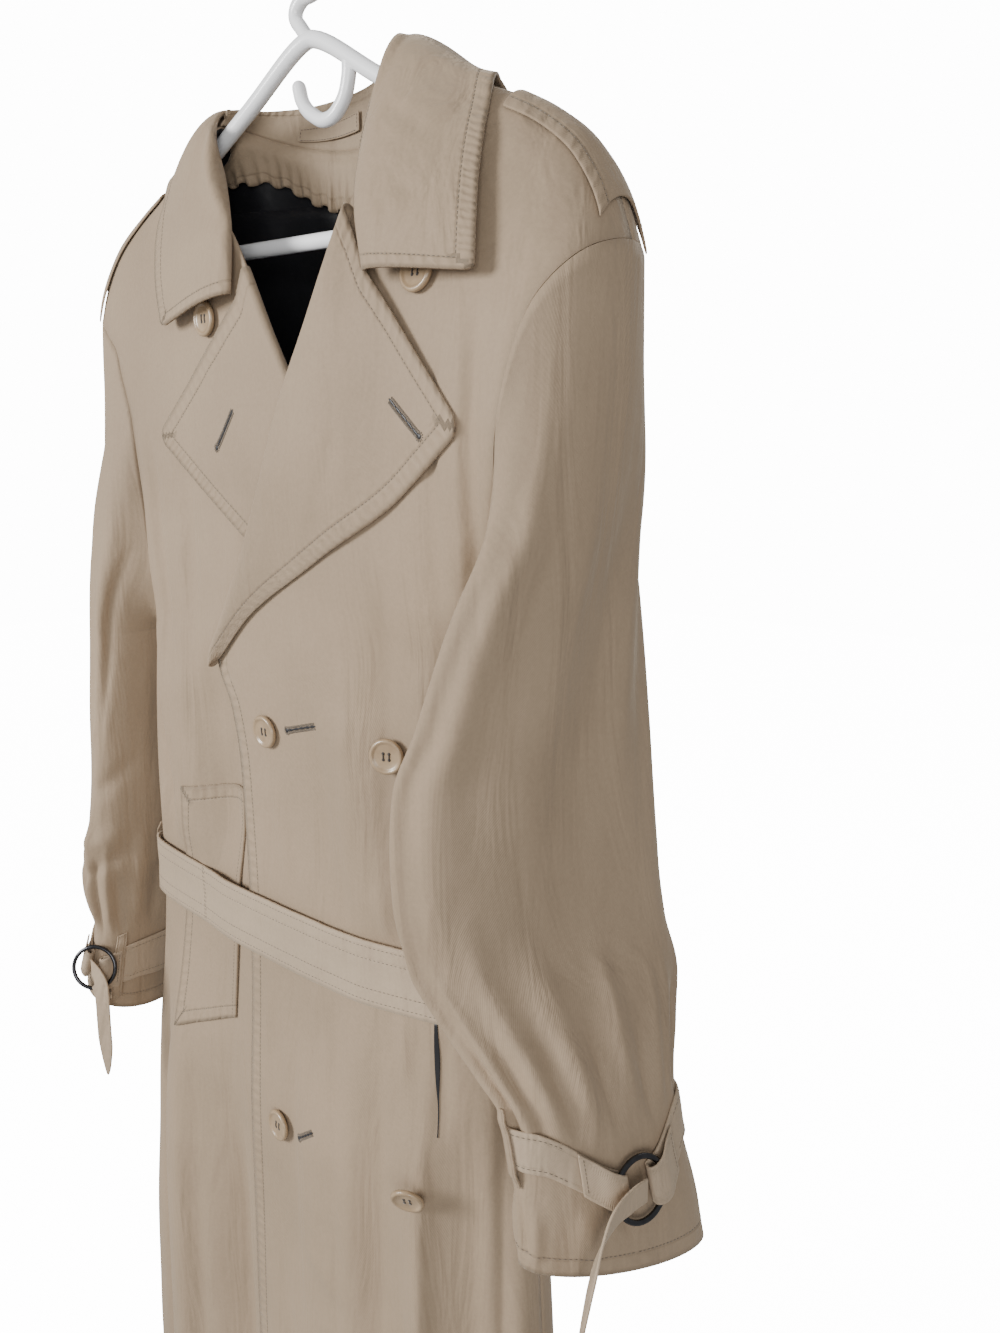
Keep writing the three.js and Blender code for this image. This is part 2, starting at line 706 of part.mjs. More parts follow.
// A blank strip sewn to the inside of the stand, by which the coat may hang.
const LOOP_STRIP = { from: -0.01, to: -0.225, width: 0.34, height: 0.5, fall: 0.22, thickness: 1.1 };
wall('hang_loop', steps(6).map((t) => {
  const p = mix(LOOP_STRIP.from, LOOP_STRIP.to, t);
  const middle = LOOP_STRIP.height - LOOP_STRIP.fall * t;
  const depth = CLOTH + 2.6 * REST + LOOP_STRIP.thickness;
  return [-0.5, 0.5].map((k) => standPoint(p, middle + k * LOOP_STRIP.width, depth));
}), { thickness: LOOP_STRIP.thickness, flip: false });

// ---------------------------------------------------------------- inside of the back

// A row of the back moved in through the cloth, between two of its columns.
function insideRow(j, from, to, depth) {
  return grids.back[j].slice(from, to + 1)
    .map((point, i) => point.clone().addScaledVector(directions.back[j][from + i], -depth));
}

const LINING_ROWS = { from: 1, to: LOWER_HEIGHTS.length + UPPER_ROWS - 2 };
const liningDepth = CLOTH + REST;
const liningGrid = [];
for (let j = LINING_ROWS.from; j <= LINING_ROWS.to; j += 1) {
  liningGrid.push(insideRow(j, 3, lastBack - 3, liningDepth));
}
wall('lining_back', liningGrid, { thickness: LINING, flip: true, colour: COLOUR.lining });

// Lower edge of the back-neck facing, drawn up in gathers.
const FACING_EDGE = table(['across', 'height'], [
  [-125, -146],
  [-100, -132],
  [-70, -135],
  [-40, -150],
  [-15, -157],
  [40, -152],
  [125, -140],
]);
const facingDepth = liningDepth + LINING + REST;
const FACING_HALF = 112;
function backNormal(x, z) {
  const across = backPoint(x + 2, z).sub(backPoint(x - 2, z));
  const up = backPoint(x, z + 2).sub(backPoint(x, z - 2));
  return up.cross(across).normalize();
}

const facingRows = [0, 1, 2, 3].map((k) => steps(24).map((t) => {
  const x = mix(-FACING_HALF, FACING_HALF, t);
  const beside = smooth((abs(x) - 60) / 24);
  const top = neckTop(x) - mix(3, 11, beside);
  const gather = 0.8 * sin(t * 24 * PI / 1.5) * (k / 3);
  const z = mix(top, FACING_EDGE.height(x), k / 3);
  return backPoint(x, z).addScaledVector(backNormal(x, z), -facingDepth - 2.3 - gather);
}));
wall('back_facing', facingRows, { thickness: 1.2, flip: false });

// ---------------------------------------------------------------- epaulettes

for (const side of ['left', 'right']) {
  const sign = side === 'left' ? 1 : -1;
  const strap = EPAULETTE[side];
  const rows = steps(8).map((t) => {
    const across = mix(strap.from, strap.to, 1 - (1 - t) ** 1.5);
    const half = mix(strap.half, strap.wide, t * t);
    return steps(6).map((u) => {
      const y = strap.middle + half * (2 * u - 1);
      return vec(sign * across, y, shoulderTop(sign * across, y));
    });
  });
  const flip = side === 'left';
  const out = gridNormals(rows, false, flip);
  rows.forEach((row, j) => row.forEach((point, i) => point.addScaledVector(out[j][i], CLOTH + 3 * REST)));
  wall(`epaulette_${side}`, rows, { flip });
}

// ---------------------------------------------------------------- pockets

// The right pocket's welt. Inner is towards the front edge; its lower end slants outwards.
const WELT = {
  inner: { across: -63, top: -563, bottom: -753 },
  outer: { across: -142, top: -577, bottom: -787 },
  slant: 20,
};
const weltRows = steps(8).map((v) => steps(5).map((g) => {
  const x = mix(WELT.inner.across, WELT.outer.across, g) - v * WELT.slant;
  const top = mix(WELT.inner.top, WELT.outer.top, g);
  const z = mix(top, mix(WELT.inner.bottom, WELT.outer.bottom, g), v);
  const normal = frontNormal('right', x, z);
  return frontPoint.right(x, z).addScaledVector(normal, CLOTH + 1.4 * REST);
}));
wall('pocket_welt', weltRows, { flip: false });

// ---------------------------------------------------------------- belt

// Section of the body with both fronts on, as a closed loop from the left side by the front.
function waistLoop(z, out) {
  const left = SIDES.left(z);
  const right = SIDES.right(z);
  const count = 18;
  const loop = [];
  for (let i = 0; i < 2 * count; i += 1) {
    const angle = (i / count) * PI;
    const x = mix(right, left, (cos(angle) + 1) / 2);
    const face = i <= count ? -1 : 1;
    const lift = face < 0 ? overlapLift(x, z) * smooth((x + 125) / 60) : 0;
    loop.push(vec(x, panelDepth(face, x, z) - lift, z));
  }
  return loop.map((point, i) => {
    const before = loop[(i + loop.length - 1) % loop.length];
    const after = loop[(i + 1) % loop.length];
    const normal = vec(before.y - after.y, after.x - before.x, 0).normalize();
    return point.clone().addScaledVector(normal, out);
  });
}

const beltRows = [-1, -0.4, 0.4, 1].map((k) => {
  const hollow = abs(k) < 1 ? -0.3 : 0;
  return waistLoop(BELT.height + k * BELT.width / 2, BELT.stand + hollow);
});
wall('belt', beltRows, { thickness: BELT.thickness, closed: true, flip: true });

const BELT_LOOP = { half: 6, reach: 33 };
for (const side of ['left', 'right']) {
  const sign = side === 'left' ? 1 : -1;
  const rows = [-1, -0.82, -0.7, 0, 0.7, 0.82, 1].map((k) => {
    const z = BELT.height + k * BELT_LOOP.reach;
    const over = 1 - smooth((abs(k) - 0.7) / 0.3);
    const out = mix(CLOTH + REST, BELT.stand + REST + CLOTH, over);
    return [-1, 0, 1].map((u) => vec(SIDES[side](z) + sign * out, u * BELT_LOOP.half, z));
  });
  wall(`belt_loop_${side}`, rows, { flip: side === 'right' });
}

// ---------------------------------------------------------------- cuffs

const CUFF = {
  left: { ring: 356, height: -693, droop: 24, seam: 84 },
  right: { ring: 98, height: -738, droop: 10, seam: 128 },
};

function cuffPoint(side, turn, rise, out) {
  const { ring, height, droop } = CUFF[side];
  const off = abs(((turn - ring + 540) % 360) - 180);
  return sleevePoint(side, turn, height - droop * (1 - smooth(off / 60)) + rise, out);
}

for (const side of ['left', 'right']) {
  const { ring, seam } = CUFF[side];
  const sign = side === 'left' ? 1 : -1;
  const outer = STRAP.clearance + STRAP.thickness;
  const rows = [-1, 1].map((k) => steps(28).map((t) => {
    const off = mix(STRAP.gap, 360 - STRAP.gap, t);
    return cuffPoint(side, (ring + off) % 360, k * STRAP.width / 2, outer);
  }));
  wall(`cuff_strap_${side}`, rows, { thickness: STRAP.thickness, flip: side === 'left' });

  // A loop of cloth that holds the strap at the front seam of the sleeve.
  const loopRows = [-24, -19, -15, 15, 19, 24].map((rise) => {
    const over = 1 - smooth((abs(rise) - 15) / 8);
    return [-6, 0, 6].map((off) => {
      const out = mix(STRAP.clearance + CLOTH, outer + REST + CLOTH, over);
      return cuffPoint(side, seam + off, rise, out);
    });
  });
  wall(`cuff_loop_${side}`, loopRows, { flip: side === 'left' });

  const centre = cuffPoint(side, ring, 0, outer);
  const along = cuffPoint(side, (ring + 12) % 360, 0, outer).sub(cuffPoint(side, ring - 12, 0, outer));
  const upwards = cuffPoint(side, ring, RING.radius, outer).sub(cuffPoint(side, ring, -RING.radius, outer));
  const out = along.clone().cross(upwards).normalize().multiplyScalar(-sign);
  along.normalize();
  const basis = new THREE.Matrix4().makeBasis(along, out.clone().cross(along), out);
  const torus = new THREE.TorusGeometry(RING.radius, RING.wire, 7, 22);
  const ringMesh = meshOf(`cuff_ring_${side}`, COLOUR.gunmetal, torus, { roughness: 0.35, metalness: 0.8 });
  ringMesh.quaternion.setFromRotationMatrix(basis);
  ringMesh.position.copy(centre).addScaledVector(out, RING.wire + RING.stand);
  CUFF[side].frame = { middle: ringMesh.position, along, out };
}

// A flat strip along a path. Each station gives its place and the way its width lies.
function ribbon(name, stations, width, thickness) {
  const rows = stations.map(({ place, across }) => {
    const side = across.clone().normalize().multiplyScalar(width / 2);
    return [place.clone().sub(side), place.clone().add(side)];
  });
  wall(name, rows, { thickness });
}

// The strap's free end: it starts on the ring, turns over its front and hangs down. Each row
// is a place on its middle line, forwards, outwards and upwards from the ring, then the way
// its width lies in the same three directions.
const TAIL = {
  left: [
    [-2, 4, 0, 0, 0, 1],
    [12, 7.5, -2, 0, 0, 1],
    [26, 10.5, -8, 0.4, 0.3, 0.8],
    [36, 13, -20, 0.5, 0.6, 0.4],
    [45, 16, -38, 0.55, 0.83, 0],
    [52, 18, -60, 0.55, 0.83, 0],
    [58, 19, -86, 0.55, 0.83, 0],
  ],
  right: [
    [-2, 4, 0, 0, 0, 1],
    [5, 6, -4, 0.4, 0, 0.9],
    [8, 7, -14, 0.9, 0, 0.4],
    [9, 7.5, -30, 1, 0, 0],
    [9, 8, -52, 1, 0, 0],
    [9, 8, -74, 1, 0, 0],
    [9, 8, -92, 1, 0, 0],
  ],
};

for (const side of ['left', 'right']) {
  const { middle, along, out } = CUFF[side].frame;
  const turned = (a, o, z) => vec(0, 0, z).addScaledVector(along, a).addScaledVector(out, o);
  const stations = TAIL[side].map(([a, o, z, wa, wo, wz]) => ({
    place: turned(a, o, z).add(middle),
    across: turned(wa, wo, wz),
  }));
  ribbon(`cuff_tail_${side}`, stations, STRAP.tail[side], STRAP.thickness);
}

// ---------------------------------------------------------------- buttons

// Tilt lifts a button's upper edge on its thread, in degrees.
const BUTTONS = [
  { name: 'button_1_left', side: 'left', x: 135, z: -221, tilt: 0 },
  { name: 'button_1_right', side: 'right', x: -70, z: -231, tilt: 0 },
  { name: 'button_2_left', side: 'left', x: 97, z: -505, tilt: 0 },
  { name: 'button_2_right', side: 'left', x: -18, z: -508, tilt: 0 },
  { name: 'button_3_left', side: 'left', x: 117, z: -803, tilt: 34 },
  { name: 'button_3_right', side: 'left', x: -19, z: -812, tilt: 0 },
];

function buttonGeometry() {
  const radius = BUTTON.diameter / 2;
  const t = BUTTON.thickness;
  const profile = [
    [0, 0], [radius - 2, 0], [radius, t * 0.4], [radius - 0.3, t - 0.5], [radius - 1.2, t],
    [radius - BUTTON.rim - 0.4, t - 0.9], [0, t - 1.3],
  ];
  return new THREE.LatheGeometry(profile.map(([r, h]) => new THREE.Vector2(r, h)), 18);
}

for (const { name, side, x, z, tilt } of BUTTONS) {
  const normal = frontNormal(side, x, z, 8);
  if (normal.y > 0) normal.negate();
  const lean = tilt * PI / 180;
  const seat = frontPoint[side](x, z).addScaledVector(normal, 2 * REST + sin(lean) * BUTTON.diameter / 2);
  const button = meshOf(name, COLOUR.horn, buttonGeometry(), { roughness: 0.45 });
  const turned = normal.clone().applyAxisAngle(vec(1, 0, 0), lean);
  button.quaternion.setFromUnitVectors(vec(0, 1, 0), turned);
  button.position.copy(seat);
}

// ---------------------------------------------------------------- hanger

const HANGER = { apex: -62, bar: -184, end: 196, slope: 29.5, corner: 12 };
const TUBE_SIDES = 10;

function tube(points, radius, count) {
  const path = new THREE.CatmullRomCurve3(points, false, 'centripetal');
  const ring = Array.from({ length: TUBE_SIDES }, (_, i) => {
    const angle = (i / TUBE_SIDES) * 2 * PI;
    return new THREE.Vector2(radius * cos(angle), radius * sin(angle));
  });
  return new THREE.ExtrudeGeometry(new THREE.Shape(ring), { steps: count, extrudePath: path, bevelEnabled: false });
}

function solidOf(geometry) {
  const bare = geometry.clone();
  for (const key of Object.keys(bare.attributes)) if (key !== 'position') bare.deleteAttribute(key);
  const merged = mergeVertices(bare, 1e-4);
  const mesh = new wasm.Mesh({
    numProp: 3,
    vertProperties: Float32Array.from(merged.attributes.position.array),
    triVerts: Uint32Array.from(merged.index.array),
  });
  return new wasm.Manifold(mesh);
}

function geometryOf(solid) {
  const { vertProperties, triVerts } = solid.getMesh();
  const geometry = new THREE.BufferGeometry();
  geometry.setAttribute('position', new THREE.BufferAttribute(vertProperties, 3));
  geometry.setIndex(new THREE.BufferAttribute(triVerts, 1));
  return geometry;
}

// Half of the frame: down an arm, round its end and back along the bar past the middle.
function hangerHalf(sign) {
  const fall = Math.tan(HANGER.slope * PI / 180);
  const points = [vec(-4 * sign, 0, HANGER.apex + 1)];
  for (const x of [4, 60, 130, 184]) points.push(vec(sign * x, 0, HANGER.apex - x * fall));
  points.push(vec(sign * (HANGER.end + 1), 0, HANGER.bar + 8));
  points.push(vec(sign * (HANGER.end - 8), 0, HANGER.bar));
  for (const x of [150, 70, -6]) points.push(vec(sign * x, 0, HANGER.bar));
  return tube(points, HANGER_TUBE, 26);
}

const HOOK_PATH = [[0, -64], [-7, -56], [-12, -48], [-7, -40.5], [5, -38], [17, -33], [23.6, -23],
  [22.8, -10], [14.5, 0], [0, HOOK_TUBE], [-14, 0.6], [-22.4, -9], [-23.4, -22]];
const INNER_HOOK_PATH = [[34, -79], [33, -92], [27, -105], [14, -112.5], [1, -108], [-8, -99], [-11, -90]];
const curved = (path) => path.map(([x, z]) => vec(x, 0, z));

const hanger = solidOf(hangerHalf(1))
  .add(solidOf(hangerHalf(-1)))
  .add(solidOf(tube(curved(HOOK_PATH), HOOK_TUBE, 28)))
  .add(solidOf(tube(curved(INNER_HOOK_PATH), HOOK_TUBE, 15)));
meshOf('hanger', COLOUR.plastic, geometryOf(hanger), { roughness: 0.3 });

export default coat;
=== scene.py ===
# %% [markdown]
# # A trench coat on a hanger
# The coat is sewn from flat pieces of gabardine, a tightly woven twill. Each cut piece is one
# Blender object here: a grid that is laid on the form of the hanging coat, given creases,
# and then its thickness. The imported model is the frame, so all places agree with it.

# %% Load the frame
from bisect import bisect_right
from math import sin, cos, asin, tan, pi, radians, hypot, sqrt

import bpy
import bmesh
import numpy as np
from mathutils import Matrix, Vector, noise
from mathutils.bvhtree import BVHTree


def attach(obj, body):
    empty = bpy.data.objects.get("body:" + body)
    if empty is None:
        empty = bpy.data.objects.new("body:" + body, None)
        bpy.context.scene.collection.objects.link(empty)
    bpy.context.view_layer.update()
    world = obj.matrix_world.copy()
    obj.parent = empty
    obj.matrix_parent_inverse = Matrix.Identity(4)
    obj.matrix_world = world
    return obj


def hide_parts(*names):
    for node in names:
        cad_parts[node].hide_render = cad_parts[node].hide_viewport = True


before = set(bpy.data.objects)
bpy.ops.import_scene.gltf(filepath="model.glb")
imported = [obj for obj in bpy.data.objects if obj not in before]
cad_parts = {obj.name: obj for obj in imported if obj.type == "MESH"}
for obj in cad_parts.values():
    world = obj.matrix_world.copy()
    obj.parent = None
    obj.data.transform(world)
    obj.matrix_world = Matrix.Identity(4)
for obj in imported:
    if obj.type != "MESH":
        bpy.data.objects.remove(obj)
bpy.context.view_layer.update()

MM = 0.001
print("frame:", len(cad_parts), "nodes")

# %% [markdown]
# ## Numbers that lie on smooth curves
# A hanging coat changes its width and depth slowly with height. A short table gives them at a
# few heights, and a cubic through the rows gives them anywhere between.

# %% Small helpers


def clamp(t):
    return min(1.0, max(0.0, t))


def mix(a, b, t):
    return a + (b - a) * t


def smooth(t):
    t = clamp(t)
    return t * t * (3 - 2 * t)


def vec(x, y, z):
    return Vector((x, y, z))


def curves(rows):
    """One smooth function per column of a table whose first column is the key."""
    keys = [row[0] for row in rows]
    last = len(keys) - 1

    def column(k):
        values = [row[k] for row in rows]
        slopes = []
        for i in range(last + 1):
            a, b = max(0, i - 1), min(last, i + 1)
            peak = (values[i] - values[a]) * (values[b] - values[i]) < 0
            level = 0 < i < last and values[i] in (values[a], values[b])
            slopes.append(0.0 if peak or level else (values[b] - values[a]) / (keys[b] - keys[a]))

        def at(key):
            if key <= keys[0]:
                return values[0]
            if key >= keys[last]:
                return values[last]
            i = bisect_right(keys, key) - 1
            span = keys[i + 1] - keys[i]
            t = (key - keys[i]) / span
            rise = values[i + 1] - values[i]
            start = slopes[i] * span - rise
            end = rise - slopes[i + 1] * span
            return mix(values[i], values[i + 1], t) + t * (1 - t) * (start * (1 - t) + end * t)

        return at

    return [column(k) for k in range(1, len(rows[0]))]


print("helpers ready")

# %% [markdown]
# ## Camera, light and ground
# The coat hangs against white, in even studio light. The camera stands near its left shoulder
# and looks a little down. Broad area lights keep the folds soft.

# %% Camera
camera = bpy.data.objects.new("camera", bpy.data.cameras.new("camera"))
bpy.context.scene.collection.objects.link(camera)
camera.location = (0.546, -0.525, -0.3115)
camera.rotation_euler = (radians(78.2), 0, radians(37))
camera.data.lens = 29.17
camera.data.sensor_width = 36
camera.data.clip_start = 0.02
bpy.context.scene.camera = camera
print("camera at", tuple(round(c, 3) for c in camera.location))

# %% Lights, surroundings and floor


def area_light(name, place, target, size, power):
    light = bpy.data.lights.new(name, "AREA")
    light.size = size
    light.energy = power
    holder = bpy.data.objects.new(name, light)
    holder.location = place
    aim = Vector(target) - Vector(place)
    holder.rotation_euler = aim.to_track_quat("-Z", "Y").to_euler()
    bpy.context.scene.collection.objects.link(holder)


area_light("key", (-1.0, -2.0, 0.15), (0, 0, -0.55), 0.8, 76)
area_light("side", (1.7, -1.9, -0.2), (0.15, 0, -0.6), 1.3, 34)
area_light("back", (-0.6, 2.2, 0.8), (0, 0, -0.6), 1.6, 22)
world = bpy.data.worlds.new("studio")
bpy.context.scene.world = world
world.use_nodes = True
# The surroundings look white, but they light the coat only softly.
sky = world.node_tree.nodes["Background"]
sky.inputs["Color"].default_value = (1, 1, 1, 1)
seen = world.node_tree.nodes.new("ShaderNodeLightPath")
level = world.node_tree.nodes.new("ShaderNodeMapRange")
level.inputs["To Min"].default_value = 0.4
level.inputs["To Max"].default_value = 14.0
world.node_tree.links.new(seen.outputs["Is Camera Ray"], level.inputs["Value"])
world.node_tree.links.new(level.outputs["Result"], sky.inputs["Strength"])

bm = bmesh.new()
bmesh.ops.create_grid(bm, x_segments=2, y_segments=2, size=6)
bmesh.ops.translate(bm, verts=bm.verts, vec=(0, 0, -1.46))
floor_mesh = bpy.data.meshes.new("floor")
bm.to_mesh(floor_mesh)
bm.free()
floor = bpy.data.objects.new("floor", floor_mesh)
bpy.context.scene.collection.objects.link(floor)
# The floor is bright, but throws no light back on the coat.
floor.visible_diffuse = floor.visible_glossy = False
print("lights and floor ready")

# %% [markdown]
# ## Finishes
# Gabardine is a fine twill, so its diagonal ribs follow each piece's own UV map, which is in
# metres. Two slow noises keep the colour from being even, and the sheen is the soft bloom of
# brushed cotton. Near a stitched edge the cloth puckers: two vertex attributes say how far
# the edge is and how far along it a point lies, and the bump makes a ladder of them. The colour
# is painted with shade as well: darker along the cut edges and in the stitch grooves, and lighter
# and darker over the puckers.

# %% A node graph helper


def material(name, colour, roughness, **sockets):
    made = bpy.data.materials.new(name)
    made.use_nodes = True
    shader = made.node_tree.nodes["Principled BSDF"]
    shader.inputs["Base Color"].default_value = (*colour, 1)
    shader.inputs["Roughness"].default_value = roughness
    for socket, value in sockets.items():
        shader.inputs[socket.replace("_", " ")].default_value = value
    return made


def node(made, kind, inputs=None, **settings):
    """Adds a node, sets it up and feeds its sockets from values or other sockets."""
    new = made.node_tree.nodes.new(kind)
    for key, value in settings.items():
        setattr(new, key, value)
    for key, value in (inputs or {}).items():
        if isinstance(value, bpy.types.NodeSocket):
            made.node_tree.links.new(value, new.inputs[key])
        else:
            new.inputs[key].default_value = value
    return new


def maths(made, operation, a, b=0.0, c=0.0):
    return node(made, "ShaderNodeMath", {0: a, 1: b, 2: c}, operation=operation).outputs[0]


def feed(made, socket, source):
    shader = made.node_tree.nodes["Principled BSDF"]
    made.node_tree.links.new(source, shader.inputs[socket])


print("node helpers ready")

# %% Gabardine
LIT = (0.36, 0.268, 0.182)
SHADE = (0.245, 0.181, 0.121)


def gabardine(name, light=LIT, dark=SHADE, twill=300):
    made = material(name, light, 0.68, Sheen_Weight=0.25, Sheen_Roughness=0.4,
                    Specular_IOR_Level=0.28)
    shader = made.node_tree.nodes["Principled BSDF"]
    shader.inputs["Sheen Tint"].default_value = (1, 0.87, 0.7, 1)
    spot = node(made, "ShaderNodeTexCoord")
    slow = node(made, "ShaderNodeTexNoise", {"Vector": spot.outputs["Object"], "Scale": 7.0, "Detail": 3.0})
    slub = node(made, "ShaderNodeTexNoise", {"Vector": spot.outputs["Object"], "Scale": 420.0, "Detail": 2.0})
    turned = node(made, "ShaderNodeMapping", {"Vector": spot.outputs["UV"], "Rotation": (0, 0, radians(27))})
    rib = node(made, "ShaderNodeTexWave", {"Vector": turned.outputs["Vector"], "Scale": float(twill),
                                           "Distortion": 0.6, "Detail": 1.0, "Detail Scale": 2.0})
    tone = maths(made, "MULTIPLY", slow.outputs["Fac"], 0.9)
    tone = maths(made, "MULTIPLY_ADD", slub.outputs["Fac"], 0.35, tone)
    tone = maths(made, "MULTIPLY_ADD", rib.outputs["Fac"], 0.12, tone)
    band = node(made, "ShaderNodeAttribute", attribute_name="band").outputs["Fac"]
    run = node(made, "ShaderNodeAttribute", attribute_name="run").outputs["Fac"]
    # Painted shade along the edges: within about 4 mm of a cut edge the colour is made darker.
    inside = maths(made, "SMOOTH_MIN", maths(made, "DIVIDE", band, 4.0), 1.0, 0.2)
    # The wave of a pucker: it lies across the edge and fades at the stitches. It is a bump, and it also
    # paints light and shade into the colour.
    wobble = node(made, "ShaderNodeTexNoise", {"Vector": spot.outputs["UV"], "Scale": 90.0, "Detail": 1.0})
    phase = maths(made, "MULTIPLY_ADD", run, 0.75, maths(made, "MULTIPLY", wobble.outputs["Fac"], 5.5))
    wave = maths(made, "SINE", phase)
    fade = node(made, "ShaderNodeMapRange", {"Value": band, "From Min": 8.0, "From Max": 16.0,
                                            "To Min": 1.0, "To Max": 0.0}, interpolation_type="SMOOTHSTEP")
    puckers_and_shading = maths(made, "MULTIPLY", wave, fade.outputs["Result"])
    off = maths(made, "ABSOLUTE", maths(made, "SUBTRACT", band, 11.0))
    groove_and_shade = node(made, "ShaderNodeMapRange", {"Value": off, "From Min": 0.0, "From Max": 1.6,
                                              "To Min": 1.0, "To Max": 0.0}, interpolation_type="SMOOTHSTEP")
    # Painted shade: the colour is darker in the groove of each stitch line.
    tone = maths(made, "MULTIPLY_ADD", groove_and_shade.outputs["Result"], -0.24, tone)
    # Painted light and shade: the colour rises and falls with the puckers.
    tone = maths(made, "MULTIPLY_ADD", puckers_and_shading, 0.07, tone)
    # Here the painted shade along the cut edges darkens the colour.
    tone = maths(made, "MULTIPLY", tone, inside)
    ramp = node(made, "ShaderNodeMapRange", {"Value": tone, "From Min": 0.25, "From Max": 1.0})
    paint = node(made, "ShaderNodeMix", {"Factor": ramp.outputs["Result"]}, data_type="RGBA")
    paint.inputs["A"].default_value = (*dark, 1)
    paint.inputs["B"].default_value = (*light, 1)
    feed(made, "Base Color", paint.outputs["Result"])
    height = maths(made, "MULTIPLY", slub.outputs["Fac"], 0.16)
    height = maths(made, "MULTIPLY_ADD", rib.outputs["Fac"], 0.09, height)
    height = maths(made, "MULTIPLY_ADD", puckers_and_shading, 0.32, height)
    height = maths(made, "MULTIPLY_ADD", groove_and_shade.outputs["Result"], -0.5, height)
    rumple = node(made, "ShaderNodeTexNoise", {"Vector": spot.outputs["Object"], "Scale": 34.0,
                                               "Detail": 2.0})
    height = maths(made, "MULTIPLY_ADD", rumple.outputs["Fac"], 1.4, height)
    # Long shallow creases run mostly down the cloth.
    drawn = node(made, "ShaderNodeMapping", {"Vector": spot.outputs["Object"], "Scale": (38.0, 38.0, 6.5)})
    streak = node(made, "ShaderNodeTexNoise", {"Vector": drawn.outputs["Vector"], "Scale": 1.0, "Detail": 3.0,
                                               "Roughness": 0.55, "Distortion": 0.7})
    height = maths(made, "MULTIPLY_ADD", streak.outputs["Fac"], 5.0, height)
    bump = node(made, "ShaderNodeBump", {"Height": height, "Strength": 0.75, "Distance": 0.001})
    feed(made, "Normal", bump.outputs["Normal"])
    return made


cloth_finish = gabardine("gabardine_cloth")
belt_finish = gabardine("gabardine_belt", (0.43, 0.331, 0.235), (0.32, 0.246, 0.172))
# Painted shade: a uniformly darker copy of the coat's gabardine, for the stand, the hang loop and the facing
# inside the neck.
neck_shade_finish = gabardine("gabardine_neck_shade", (0.32, 0.24, 0.163), (0.225, 0.168, 0.112))
print("gabardine ready")

# %% Satin, thread, horn, metal and plastic


def mottled(made, dark, light, scale, bump, detail=3.0):
    """Colour and relief from one noise on Object coordinates."""
    spot = node(made, "ShaderNodeTexCoord")
    cloud = node(made, "ShaderNodeTexNoise", {"Vector": spot.outputs["Object"], "Scale": scale,
                                              "Detail": detail})
    paint = node(made, "ShaderNodeMix", {"Factor": cloud.outputs["Fac"]}, data_type="RGBA")
    paint.inputs["A"].default_value = (*dark, 1)
    paint.inputs["B"].default_value = (*light, 1)
    feed(made, "Base Color", paint.outputs["Result"])
    relief = node(made, "ShaderNodeBump", {"Height": cloud.outputs["Fac"], "Strength": 0.6, "Distance": bump})
    feed(made, "Normal", relief.outputs["Normal"])
    return made


# Black satin of the lining. The same near-black finish is laid in the buttonhole slits and the left pocket's
# slit as painted shade.
satin_and_slit_shade = mottled(material("black_satin_and_slit_shade", (0.006, 0.006, 0.008), 0.42, Sheen_Weight=0.1),
                (0.004, 0.004, 0.005), (0.011, 0.011, 0.014), 60.0, 0.0008)
thread = mottled(material("thread_tan", (0.1, 0.075, 0.048), 0.7, Sheen_Weight=0.3),
                 (0.08, 0.06, 0.038), (0.13, 0.1, 0.066), 900.0, 0.0001)
dark_thread = mottled(material("thread_dark", (0.03, 0.022, 0.017), 0.7, Sheen_Weight=0.3),
                      (0.022, 0.016, 0.012), (0.05, 0.037, 0.028), 900.0, 0.0001)
horn = mottled(material("horn_button", (0.55, 0.45, 0.33), 0.34, Coat_Weight=0.35, Coat_Roughness=0.2),
               (0.22, 0.145, 0.08), (0.45, 0.33, 0.205), 130.0, 0.0002, 5.0)
gunmetal = mottled(material("gunmetal_ring", (0.05, 0.05, 0.055), 0.26, Metallic=1.0),
                   (0.04, 0.04, 0.045), (0.085, 0.085, 0.09), 240.0, 0.00005)
plastic = mottled(material("hanger_white", (0.85, 0.86, 0.87), 0.24, Coat_Weight=0.3, Coat_Roughness=0.12),
                  (0.92, 0.925, 0.935), (0.96, 0.96, 0.965), 12.0, 0.0001)
glowing = material("floor_white", (0.9, 0.9, 0.9), 0.9, Emission_Color=(1, 1, 1, 1), Emission_Strength=14.0)
floor.data.materials.append(mottled(glowing, (0.89, 0.89, 0.89), (0.93, 0.93, 0.93), 3.0, 0.0001))
print("finishes ready")

# %% [markdown]
# ## The form of the hanging body
# The shoulders rest on the hanger and the cloth falls from them. Its section is a flat oval
# that is squarer at the sides. The form is a pair of functions, one for each face, and every
# piece of the coat is laid on them.

# %% Body tables
HEM, ARMPIT, BREAK, NECK_HEIGHT, NAPE = -1290, -450, -467, -101, -120
NECK_HALF, SHOULDER_HALF, RIDGE_DROP, SQUARENESS = 86, 238, 170, 2.6
TIP = {"left": -207, "right": -214}
CLOTH, DOUBLE, GAP, REST = 1.6, 2.0, 0.3, 0.5

